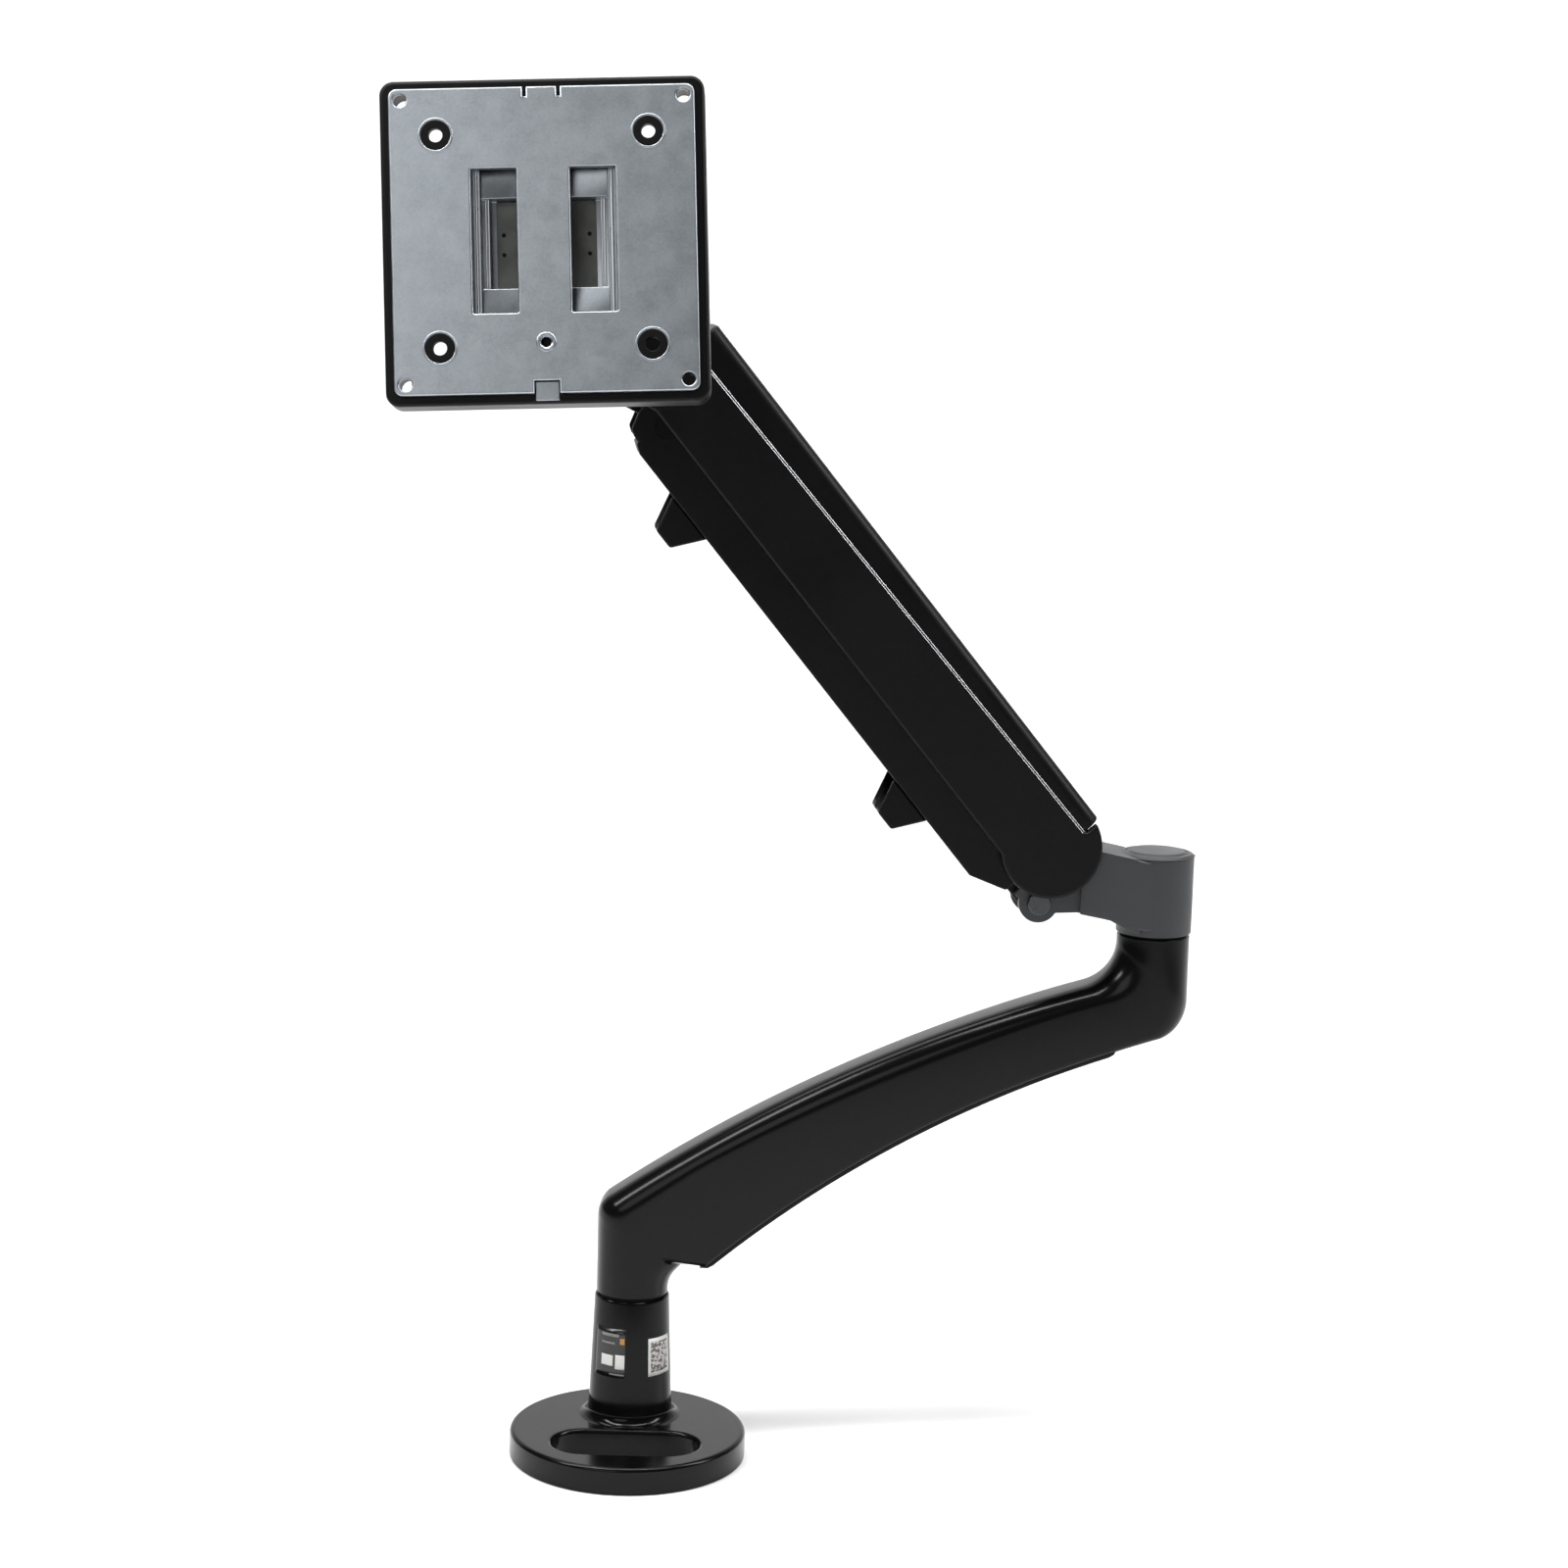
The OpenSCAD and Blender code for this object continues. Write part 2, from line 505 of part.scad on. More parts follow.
module link_head_pin() { color("#9a9c9f") in_link() translate([upper_len, 0, 0]) across(low_pin_d, link_w + 0.4, 48); }

// ---- gas spring ----
spring_du = spring_u - (eye_x * cos(rise) + eye_z * sin(rise));
spring_dv = spring_v - (-eye_x * sin(rise) + eye_z * cos(rise));
spring_len = norm([spring_du, spring_dv]);
spring_a = atan2(spring_dv, spring_du);
module in_spring() { in_arm() translate([spring_u, 0, spring_v]) rotate([0, 180 - spring_a, 0]) children(); }
module spring_cylinder() {
  color("#37393b") in_spring() difference() {
    union() {
      across(13, 9.6, 48);
      rotate([0, 90, 0]) cylinder(d = 9, h = 14, $fn = 48);
      translate([11, 0, 0]) rotate([0, 90, 0]) cylinder(d = 16, h = spring_len - 81, $fn = 64);
    }
    across(spring_pin_d + 2 * run, 60, 48);
    translate([spring_len - 110, 0, 0]) rotate([0, 90, 0]) cylinder(d = 8 + 2 * run, h = 60, $fn = 48);
  }
}
module spring_rod() { color("#c3c5c8") in_spring() translate([spring_len - 90, 0, 0]) rotate([0, 90, 0]) cylinder(d = 8, h = 75.7, $fn = 48); }
module rod_fork() {
  color("#55575a") in_spring() translate([spring_len - 0.21, 0, 0.75]) difference() {
    union() {
      side(2 * fork_out) union() {
        circle(r = 5.6, $fn = 48);
        translate([-20, -5]) square([20, 10]);
      }
    }
    side(2 * fork_in) union() {
      circle(r = 9, $fn = 48);
      translate([-9, -9]) square([9, 18]);
    }
    across(2 * eye_hole, 20, 48);
    translate([-30, 0, -0.75]) rotate([0, 90, 0]) cylinder(d = 8, h = 16, $fn = 48);
  }
}

// ---- head ----
module head_bracket() {
  color("#27282a") at_head() difference() {
    union() {
      side(knuckle_w) union() {
        circle(r = 11.5, $fn = 64);
        translate([link_dx, -link_dz]) circle(r = 8.6, $fn = 64);
        polygon([[-4, -link_dz + 4], [2, -link_dz - 8], [10.6, -link_dz + 3.4], [16, -17.5], [head_reach - 14, -10.6], [head_reach, -10.6],
          [head_reach, 12], [0, 11.4], [-8, -4]]);
      }
      across(15, boss_w, 64);
      translate([head_reach, 0, -11]) cylinder(d = 30, h = 26.6, $fn = 96);
      translate([head_reach, 0, 15.6 - e]) cylinder(d1 = 30, d2 = 28, h = 1, $fn = 96);
    }
    across(pin_d + seat, 60, 64);
    translate([link_dx, 0, -link_dz]) across(low_pin_d + seat, 60, 48);
    translate([head_reach, 0, -12]) cylinder(d = bush_d - 3, h = 40, $fn = 64);
  }
}
module head_bush() { color("#c9c9c4") at_head() translate([head_reach, 0, -10]) tube(bush_d - 3, 12 + 2 * run, 26); }
module head_foot_cap() { color("#27282a") at_head() translate([head_reach, 0, -11]) cylinder(d = bush_d - 3, h = 0.9, $fn = 64); }
module head_washer() { color("#303133") at_head() translate([head_reach, 0, 16.6]) tube(26, 12.4, washer_t - 0.05); }
module head_yoke() {
  color("#1f2022") at_swivel() difference() {
    union() {
      translate([0, 0, 16.6 + washer_t]) cylinder(d = 30, h = tilt_up - 8, $fn = 96);
      translate([-8, -tilt_out, tilt_up - 12]) cube([16, tilt_out, 24]);
      translate([0, -tilt_out, tilt_up]) rotate([0, 90, 0]) cylinder(d = 24, h = 16, center = true, $fn = 64);
    }
    translate([0, -tilt_out, tilt_up]) rotate([0, 90, 0]) cylinder(d = 8 + 2 * run, h = 40, center = true, $fn = 48);
    translate([0, 0, 10]) cylinder(d = 12, h = 24, $fn = 64);
  }
}
module head_shaft() { color("#9a9c9f") at_swivel() translate([0, 0, -9]) cylinder(d = 12, h = 42.5, $fn = 64); }
module tilt_bracket() {
  color("#1c1d1f") at_tilt() difference() {
    union() {
      for (s = [-1, 1]) {
        translate([s * 11.2, 0, 0]) rotate([0, 90, 0]) cylinder(d = 24, h = 5, center = true, $fn = 64);
        translate([s * 11.2 - 2.5, -18, -12]) cube([5, 18, 24]);
      }
      translate([0, -22, 0]) rotate([90, 0, 0]) cylinder(d = 50, h = 4, $fn = 96);
      translate([-13.7, -22, -12]) cube([27.4, 6, 24]);
      translate([0, -22, 0]) rotate([90, 0, 0]) cylinder(d = turn_boss_d, h = 13, $fn = 64);
    }
    rotate([0, 90, 0]) cylinder(d = 8.4, h = 60, center = true, $fn = 48);
    translate([0, -18, 0]) rotate([90, 0, 0]) cylinder(d = 6, h = 30, $fn = 48);
  }
}
module tilt_bolt() {
  color("#7d7f82") at_tilt() difference() {
    union() {
      rotate([0, 90, 0]) cylinder(d = 8, h = 42, center = true, $fn = 48);
      translate([-21, 0, 0]) rotate([0, 90, 0]) cylinder(d = 13, h = 5.4, $fn = 48);
    }
    translate([-22, 0, 0]) rotate([0, 90, 0]) cylinder(d = 6, h = 4.5, $fn = 6);
  }
}
module tilt_nut() {
  color("#7d7f82") at_tilt() translate([15.5, 0, 0]) rotate([0, 90, 0]) difference() {
    cylinder(d = 15, h = 5, $fn = 6);
    translate([0, 0, -1]) cylinder(d = 8, h = 9, $fn = 48);
  }
}
module tilt_washer_left() { color("#a3a5a8") at_tilt() translate([-15.5, 0, 0]) rotate([0, 90, 0]) tube(17, 8.4, 1.7); }
module tilt_washer_right() { color("#a3a5a8") at_tilt() translate([13.8, 0, 0]) rotate([0, 90, 0]) tube(17, 8.4, 1.6); }
module turn_screw() {
  color("#7d7f82") in_plate() difference() {
    union() {
      translate([0, -19, 0]) rotate([90, 0, 0]) cylinder(d = 6, h = 18, $fn = 48);
      translate([0, -35.2, 0]) rotate([90, 0, 0]) cylinder(d = turn_boss_d + 1, h = 2.4, $fn = 64);
    }
    translate([0, -34.6, 0]) rotate([90, 0, 0]) cylinder(d = 4, h = 5, $fn = 6);
  }
}
module window2d() { for (s = [-1, 1]) translate([s * 17.5, 0]) square([16, 51], center = true); }
module head_housing() {
  color("#1a1b1d") in_plate() difference() {
    translate([0, hous_y, 0]) rotate([-90, 0, 0]) linear_extrude(height = housing_t) rounded(housing_s, housing_s, 5);
    translate([0, hous_y - 1, 0]) rotate([-90, 0, 0]) linear_extrude(height = 1.4) rounded(housing_s - 2 * edge_w, housing_s - 2 * edge_w, 3);
    translate([0, hous_y - 1, 0]) rotate([-90, 0, 0]) linear_extrude(height = housing_t - pocket_wall + 1) {
      for (s = [-1, 1]) translate([s * 17.5, 0]) square([20, 60], center = true);
    }
    translate([0, hous_y - 1, 0]) rotate([-90, 0, 0]) cylinder(d = turn_boss_d + 2.4, h = plate_out - 34.8 - plate_t + 1.6, $fn = 64);
    translate([0, hous_y - 1, 0]) rotate([-90, 0, 0]) linear_extrude(height = 40) {
      for (x = [-1, 1], z = [-1, 1]) translate([x * vesa[0], z * vesa[0]]) circle(d = 12, $fn = 48);
      for (x = [-1, 1], z = [-1, 1]) translate([x * vesa[1], z * vesa[1]]) circle(d = 10, $fn = 48);
      circle(d = turn_boss_d + 2 * run, $fn = 64);
    }
    translate([0, hous_y - 1, -housing_s / 2 + 4.5]) cube([13.4, 22, 7], center = true);
  }
}
module head_plate() {
  s = housing_s - 2 * edge_w - 0.4;
  color("#b9bbbd") in_plate() difference() {
    union() {
      translate([0, -plate_out + 0.8, 0]) rotate([-90, 0, 0]) linear_extrude(height = plate_t - 1) rounded(s, s, 3);
      translate([0, -plate_out, 0]) rotate([-90, 0, 0]) linear_extrude(height = 1) rounded(s - 1.6, s - 1.6, 2.4);
    }
    translate([0, -plate_out - 1, 0]) rotate([-90, 0, 0]) linear_extrude(height = 10) {
      window2d();
      for (x = [-1, 1], z = [-1, 1]) translate([x * vesa[0], z * vesa[0]]) circle(d = 10.6, $fn = 48);
      for (x = [-1, 1], z = [-1, 1]) translate([x * vesa[1], z * vesa[1]]) circle(d = 4.6, $fn = 48);
      translate([0, 36]) circle(d = 3.4, $fn = 32);
      for (x = [-6, 6]) translate([x, -s / 2]) square([1.2, 7], center = true);
      translate([0, s / 2]) square([9, 9], center = true);
    }
  }
}
module ring(x, z) {
  color("#141517") in_plate() translate([x * vesa[0], -plate_out - 0.3, z * vesa[0]]) rotate([-90, 0, 0]) tube(10.5, 5, 4.1);
}
module ring_1() { ring(-1, 1); }
module ring_2() { ring(1, 1); }
module ring_3() { ring(-1, -1); }
module ring_4() { ring(1, -1); }
module tray(s) {
  // stepped steel insert in a window pocket, its steps on the outer side
  color("#a2a4a6") in_plate() translate([s * 17.5, tray_y, 0]) {
    translate([-9.6, -1.2, -29.6]) cube([19.2, 1.2, 59.2]);
    translate([s > 0 ? 5 : -9.6, -11.2, -29.6]) cube([4.6, 10 + e, 59.2]);
    translate([s > 0 ? 2.2 : -5, -7.2, -16]) cube([2.8, 6 + e, 32]);
    for (z = [-29.6, 16]) translate([s > 0 ? -9.6 : -5, -8.6, z]) cube([14.6, 7.4 + e, 13.6]);
  }
}
module tray_left() { tray(-1); }
module tray_right() { tray(1); }
module release_latch() {
  color("#a9abad") in_plate() translate([-4.2, hous_y - 1.4, -housing_s / 2 + 1.1]) cube([8.4, 11.4, 6.6]);
}

base_disc();
base_pad();
base_column();
column_screw_left();
column_screw_right();
base_shaft();
base_washer();
front_label();
side_label();
lower_arm();
cable_cover();
cover_screw_low();
cover_screw_high();
base_bush();
base_friction_screw();
elbow_bush();
elbow_washer();
knuckle();
hub_cap();
elbow_shaft();
elbow_friction_screw();
lift_pin();
link_pin();
spring_anchor();
anchor_pin();
upper_channel();
top_cover();
lift_pin_plug();
head_pin_plug();
spring_pin();
head_pin();
lower_channel();
clip_high();
clip_low();
link_head_pin();
spring_cylinder();
spring_rod();
rod_fork();
head_bracket();
head_bush();
head_foot_cap();
head_washer();
head_yoke();
head_shaft();
tilt_bracket();
tilt_bolt();
tilt_nut();
tilt_washer_left();
tilt_washer_right();
turn_screw();
head_housing();
head_plate();
ring_1();
ring_2();
ring_3();
ring_4();
tray_left();
tray_right();
release_latch();
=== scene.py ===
"""Desk-mounted monitor arm: round base, cast lower arm, grey knuckle, sprung upper arm and a zinc-plated head plate.

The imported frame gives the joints' places and axes, in metres. The sizes below are the part's own, in millimetres,
written here a second time, so they have to be changed with the part's.
"""
import math

import bmesh
import bpy
import numpy as np
from mathutils import Matrix, Vector
from mathutils.geometry import tessellate_polygon
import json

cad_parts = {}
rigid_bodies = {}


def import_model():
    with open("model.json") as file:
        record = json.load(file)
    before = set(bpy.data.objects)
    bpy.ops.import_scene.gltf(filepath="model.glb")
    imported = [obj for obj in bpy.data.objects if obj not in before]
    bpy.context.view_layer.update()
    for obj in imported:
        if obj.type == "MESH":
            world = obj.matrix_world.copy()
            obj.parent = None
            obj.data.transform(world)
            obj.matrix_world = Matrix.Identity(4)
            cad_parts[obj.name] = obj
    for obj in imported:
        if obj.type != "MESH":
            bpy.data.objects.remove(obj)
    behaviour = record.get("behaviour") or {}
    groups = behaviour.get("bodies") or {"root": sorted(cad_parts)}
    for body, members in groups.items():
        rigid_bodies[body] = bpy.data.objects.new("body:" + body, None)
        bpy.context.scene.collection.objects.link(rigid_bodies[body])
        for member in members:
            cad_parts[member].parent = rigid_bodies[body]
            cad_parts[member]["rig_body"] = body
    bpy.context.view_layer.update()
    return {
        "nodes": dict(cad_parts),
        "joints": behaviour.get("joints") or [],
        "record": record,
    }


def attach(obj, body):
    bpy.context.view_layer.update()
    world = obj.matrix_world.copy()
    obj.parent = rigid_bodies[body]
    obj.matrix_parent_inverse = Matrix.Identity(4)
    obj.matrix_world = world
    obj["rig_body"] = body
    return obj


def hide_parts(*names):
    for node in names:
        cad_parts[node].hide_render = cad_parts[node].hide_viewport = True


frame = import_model()
nodes = frame["nodes"]
joints = {j["name"]: j for j in frame["joints"]}
mm = 0.001


# ---- the arm's own frames ----
def joint_at(name):
    """A joint's place, in metres."""
    return np.array(joints[name]["pos_m"], float)


def unit(v):
    """A vector made one long."""
    v = np.asarray(v, float)
    return v / np.linalg.norm(v)


def local(origin, x, y):
    """A right-handed frame as a 4x4 matrix: columns x, y, x cross y, and its origin."""
    m = np.eye(4)
    m[:3, 0], m[:3, 1], m[:3, 2], m[:3, 3] = x, y, np.cross(x, y), origin
    return m


elbow = joint_at("elbow_swivel")
lift = joint_at("lift")
link = joint_at("link_follow")
head = joint_at("head_level")
tilt = joint_at("head_tilt")
up = np.array([0.0, 0.0, 1.0])
lower_way = unit([elbow[0], elbow[1], 0])
knuckle_way = unit([lift[0] - elbow[0], lift[1] - elbow[1], 0])
arm_way = unit(head - lift)


# ---- colour and nodes ----
def linear(colour):
    """An sRGB hex colour as linear RGBA."""
    rgb = np.array([int(colour[i : i + 2], 16) for i in (1, 3, 5)]) / 255
    low, high = rgb / 12.92, ((rgb + 0.055) / 1.055) ** 2.4
    return (*np.where(rgb <= 0.04045, low, high), 1.0)


def add(material, kind, settings=None, **sockets):
    """One shader node: settings are its properties, sockets are values for its inputs or another node's output.
    A socket is named, with _ for a space, or numbered, as _2."""
    tree = material.node_tree
    made = tree.nodes.new(kind)
    for key, value in (settings or {}).items():
        setattr(made, key, value)
    for key, value in sockets.items():
        by_number = key[0] == "_" and key[1:].isdigit()
        into = made.inputs[int(key[1:]) if by_number else key.replace("_", " ")]
        if isinstance(value, bpy.types.NodeSocket):
            tree.links.new(value, into)
        else:
            into.default_value = value
    return made


def finish(name, colour, roughness, metallic=0.0, **shader):
    """A material with one Principled shader whose plain numbers sit on its own sockets."""
    material = bpy.data.materials.new(name)
    material.use_nodes = True
    material.node_tree.nodes.clear()
    skin = add(material, "ShaderNodeBsdfPrincipled", Roughness=roughness, Metallic=metallic, **shader)
    skin.inputs["Base Color"].default_value = linear(colour)
    add(material, "ShaderNodeOutputMaterial", Surface=skin.outputs[0])
    skin.name = "skin"
    return material


def skin_of(material):
    """A material's Principled shader."""
    return material.node_tree.nodes["skin"]


def drive(material, socket, value):
    """Joins a node's output to one of the shader's sockets."""
    material.node_tree.links.new(value, skin_of(material).inputs[socket])


def coat_texture(material, grain, depth, patch=0.0, spread=0.0):
    """Powder coat's orange peel: noise with cells of the given grain in metres, raised by depth, and a slow
    change of roughness over patches of the given size."""
    place = add(material, "ShaderNodeTexCoord").outputs["Object"]
    peel = add(material, "ShaderNodeTexNoise", Vector=place, Scale=1 / grain, Detail=2.0, Roughness=0.55)
    raised = add(material, "ShaderNodeBump", Height=peel.outputs[0], Strength=1.0, Distance=depth)
    drive(material, "Normal", raised.outputs[0])
    if patch:
        slow = add(material, "ShaderNodeTexNoise", Vector=place, Scale=1 / patch, Detail=3.0)
        middle = skin_of(material).inputs["Roughness"].default_value
        level = add(material, "ShaderNodeMapRange", Value=slow.outputs[0], From_Min=0.3, From_Max=0.7,
                    To_Min=middle - spread, To_Max=middle + spread)
        drive(material, "Roughness", level.outputs[0])


def two_tones(material, value, low, low_colour, high, high_colour):
    """Joins the base colour to a ramp that runs from one colour to another between two values."""
    tone = add(material, "ShaderNodeValToRGB", Fac=value)
    first, last = tone.color_ramp.elements
    first.position, first.color = low, linear(low_colour)
    last.position, last.color = high, linear(high_colour)
    drive(material, "Base Color", tone.outputs[0])


def satin_black_coat():
    """Satin black powder coat on cast aluminium: soft wide highlights broken by faint orange peel."""
    material = finish("satin_black_powder_coat", "#060607", 0.19, Specular_IOR_Level=0.17)
    coat_texture(material, 1.6 * mm, 0.006 * mm, 40 * mm, 0.015)
    return material


def gloss_black_paint():
    """Gloss black stove enamel on turned steel: narrow bright streaks, nearly black between them."""
    material = finish("gloss_black_enamel", "#050506", 0.14, Specular_IOR_Level=0.15)
    coat_texture(material, 2.2 * mm, 0.006 * mm, 30 * mm, 0.04)
    return material


def grey_coat():
    """Satin mid-grey powder coat on the cast knuckle: flat grey, a fine even tooth."""
    material = finish("satin_grey_powder_coat", "#333436", 0.42, Specular_IOR_Level=0.35)
    coat_texture(material, 0.9 * mm, 0.012 * mm, 25 * mm, 0.06)
    return material


def textured_coat():
    """Fine textured black powder coat on pressed steel: matt, with a sandy tooth that breaks up highlights."""
    material = finish("textured_black_powder_coat", "#060607", 0.42, Specular_IOR_Level=0.16)
    coat_texture(material, 0.55 * mm, 0.03 * mm, 50 * mm, 0.07)
    return material


def painted_highlight_edge():
    """Painted highlight on the channel's top edge: bright metal that stands for the black paint's reflection of a
    raking light, a thin bright line.
    """
    material = finish("channel_edge_painted_highlight", "#a4a6a8", 0.3, 1.0)
    coat_texture(material, 0.8 * mm, 0.001 * mm, 20 * mm, 0.03)
    return material


def pocket_shade_steel():
    """Unpolished steel on the window pockets' floor, its dark grey painted shade for the recess, with a coarse, cloudy
    tooth.
    """
    material = finish("pocket_steel_painted_shade", "#6c6e6b", 0.55, 1.0)
    coat_texture(material, 0.7 * mm, 0.05 * mm, 6 * mm, 0.08)
    return material


def painted_highlight_fold():
    """Painted highlight on a folded rail: zinc made paler and smoother than the sheet, so the fold shows as a light
    line.
    """
    material = finish("painted_highlight_fold", "#d9dbdd", 0.3, 1.0)
    coat_texture(material, 0.6 * mm, 0.003 * mm, 6 * mm, 0.03)
    return material


def dark_steel():
    """Blackened steel pin head: dark grey metal with a small sharp glint."""
    material = finish("blackened_steel", "#4c4e50", 0.28, 1.0)
    coat_texture(material, 0.3 * mm, 0.008 * mm, 5 * mm, 0.05)
    return material


def moulded_black():
    """Moulded black ABS with a spark-eroded surface: even, slightly greyer than paint at grazing angles."""
    material = finish("moulded_black_abs", "#060607", 0.4, Specular_IOR_Level=0.14)
    coat_texture(material, 0.4 * mm, 0.012 * mm, 30 * mm, 0.05)
    return material


def zinc_plate():
    """Bright zinc plate on rolled steel: cool grey metal with faint rolling lines and cloudy patches of sheen."""
    material = finish("zinc_plated_sheet", "#a3a9ae", 0.36, 1.0)
    place = add(material, "ShaderNodeTexCoord").outputs["Object"]
    clouds = add(material, "ShaderNodeTexNoise", Vector=place, Scale=1 / (9 * mm), Detail=4.0, Roughness=0.6)
    speck = add(material, "ShaderNodeTexNoise", Vector=place, Scale=1 / (0.9 * mm), Detail=2.0)
    both = add(material, "ShaderNodeMix", {"data_type": "FLOAT"}, Factor=0.35,
               _2=clouds.outputs[0], _3=speck.outputs[0])
    two_tones(material, both.outputs[0], 0.36, "#969ca1", 0.66, "#a9afb4")
    level = add(material, "ShaderNodeMapRange", Value=clouds.outputs[0], From_Min=0.3, From_Max=0.7,
                To_Min=0.3, To_Max=0.36)
    drive(material, "Roughness", level.outputs[0])
    raised = add(material, "ShaderNodeBump", Height=speck.outputs[0], Strength=1.0, Distance=0.012 * mm)
    drive(material, "Normal", raised.outputs[0])
    return material


def turned_steel():
    """Zinc-plated screws and pins: duller than the sheet, with fine turning marks."""
    material = finish("zinc_plated_hardware", "#8b8e92", 0.34, 1.0)
    coat_texture(material, 0.25 * mm, 0.01 * mm, 6 * mm, 0.06)
    return material


def chrome():
    """Ground and chromed spring rod: a near mirror."""
    material = finish("hard_chrome", "#c4c6ca", 0.08, 1.0)
    coat_texture(material, 3 * mm, 0.002 * mm, 10 * mm, 0.02)
    return material


def natural_nylon():
    """Natural nylon bushes: milky white with a soft sheen."""
    material = finish("natural_nylon", "#d9d6c8", 0.45, Subsurface_Weight=0.15, Subsurface_Scale=1.5 * mm)
    coat_texture(material, 0.8 * mm, 0.01 * mm, 12 * mm, 0.05)
    return material


def black_nylon():
    """Black nylon thrust washers and hole inserts: matt with a faint waxy sheen."""
    material = finish("black_nylon", "#060607", 0.5, Specular_IOR_Level=0.14)
    coat_texture(material, 0.5 * mm, 0.01 * mm, 10 * mm, 0.05)
    return material


def foam_rubber():
    """Foam rubber desk pad: dark, pitted and without shine."""
    material = finish("foam_rubber", "#1a1a1b", 0.9, Specular_IOR_Level=0.25)
    coat_texture(material, 0.6 * mm, 0.12 * mm, 8 * mm, 0.05)
    return material


def label_film(name, colour, roughness=0.35):
    """Printed label film: one flat ink with a faint orange peel under a soft gloss."""
    material = finish(name, colour, roughness)
    coat_texture(material, 0.3 * mm, 0.004 * mm, 6 * mm, 0.05)
    return material


def printed_panel():
    """A blank printed panel: fine light and dark bands that stand for small print, with nothing to read."""
    material = finish("label_printed_panel", "#8a8888", 0.4)
    place = add(material, "ShaderNodeTexCoord").outputs["Object"]
    bands = add(material, "ShaderNodeTexNoise", Vector=place, Scale=1 / (1.1 * mm), Detail=1.0)
    two_tones(material, bands.outputs[0], 0.42, "#4e4a4a", 0.58, "#b3afae")
    return material


satin = satin_black_coat()
enamel = gloss_black_paint()
grey = grey_coat()
texture = textured_coat()
abs_black = moulded_black()
zinc = zinc_plate()
hardware = turned_steel()
rod_chrome = chrome()
nylon = natural_nylon()
dark_nylon = black_nylon()
foam = foam_rubber()
film = label_film("label_white_film", "#c9c9c6")
dark_film = label_film("label_black_film", "#0b0b0c", 0.25)
grey_film = label_film("label_grey_ink", "#6e6e6e")
gold_film = label_film("label_gold_ink", "#a8742c")
printed_film = printed_panel()
# painted highlight for the upper channel's top edge
edge_highlight_look = painted_highlight_edge()
# painted shade for the window pockets' floor
pocket_shade_look = pocket_shade_steel()
dark_screw = dark_steel()
# painted highlight for the folded rails in the windows
fold_highlight_look = painted_highlight_fold()

coats = {
    "satin_black_casting": satin, "gloss_black_column": enamel, "grey_casting": grey, "textured_channel": texture,
    "black_plastic": abs_black, "black_ring": dark_nylon, "zinc_steel": zinc, "plain_steel": hardware,
    "rod_chrome": rod_chrome, "cylinder_paint": enamel, "bush_nylon": nylon, "washer_nylon": dark_nylon,
    "pad_foam": foam, "label_paper": film,
}
for row in frame["record"]["subparts"]:
    mesh = nodes[row["node"]].data
    mesh.materials.clear()
    mesh.materials.append(coats[row["material_slot"]])


# ---- shapes ----
def along(points, n):
    """Points of a polyline spread evenly by length, n of them."""
    points = np.asarray(points, float)
    run = np.concatenate([[0], np.cumsum(np.linalg.norm(np.diff(points, axis=0), axis=1))])
    at = np.linspace(0, run[-1], n)
    return np.stack([np.interp(at, run, points[:, k]) for k in range(points.shape[1])], 1)


def arc(middle, radius, start, end, n=24):
    """Points of a circle arc, angles in degrees."""
    a = np.radians(np.linspace(start, end, n))
    return np.asarray(middle, float) + radius * np.stack([np.cos(a), np.sin(a)], 1)


def angle_to(middle, point):
    """The direction from one point to another, in degrees."""
    return math.degrees(math.atan2(point[1] - middle[1], point[0] - middle[0]))


def eased_corners(points, radius, n=6):
    """A closed outline with every corner that turns over 12 degrees changed to an arc that touches both sides."""
    p = np.asarray(points, float)
    back, ahead = np.roll(p, 1, 0) - p, np.roll(p, -1, 0) - p
    lb, la = np.linalg.norm(back, axis=1), np.linalg.norm(ahead, axis=1)
    u, v = back / lb[:, None], ahead / la[:, None]
    half = np.arccos(np.clip((u * v).sum(1), -0.999999, 0.999999)) / 2
    turn = math.pi - 2 * half
    reach = np.minimum(np.where(turn > math.radians(12), radius / np.tan(half), 0), 0.48 * np.minimum(lb, la))
    halfway = (u + v) / np.maximum(np.linalg.norm(u + v, axis=1), 1e-9)[:, None]
    middle = p + halfway * np.hypot(reach, reach * np.tan(half))[:, None]
    a0, a1 = p + u * reach[:, None] - middle, p + v * reach[:, None] - middle
    t = np.linspace(0, 1, n)
    safe = np.maximum(turn, 1e-3)[:, None]
    w0, w1 = np.sin((1 - t) * safe) / np.sin(safe), np.sin(t * safe) / np.sin(safe)
    bend = middle[:, None] + w0[..., None] * a0[:, None] + w1[..., None] * a1[:, None]
    out = np.where((reach > 0)[:, None, None], bend, p[:, None]).reshape(-1, 2)
    return out[np.linalg.norm(out - np.roll(out, 1, 0), axis=1) > 1e-6]


def rectangle(width, height, radius=0.6, at=(0, 0), n=6):
    """The outline of a rectangle with round corners."""
    w, h = width / 2, height / 2
    return eased_corners(np.array([[-w, -h], [w, -h], [w, h], [-w, h]]), radius, n) + np.asarray(at, float)


def disc(radius, at=(0, 0), n=48):
    """The outline of a circle."""
    return arc(at, radius, 0, 360, n + 1)[:-1]


def placed(points, place):
    """Points in millimetres of a frame, as metres of the shared one."""
    return (place[:3, :3] @ points.T).T * mm + place[:3, 3]


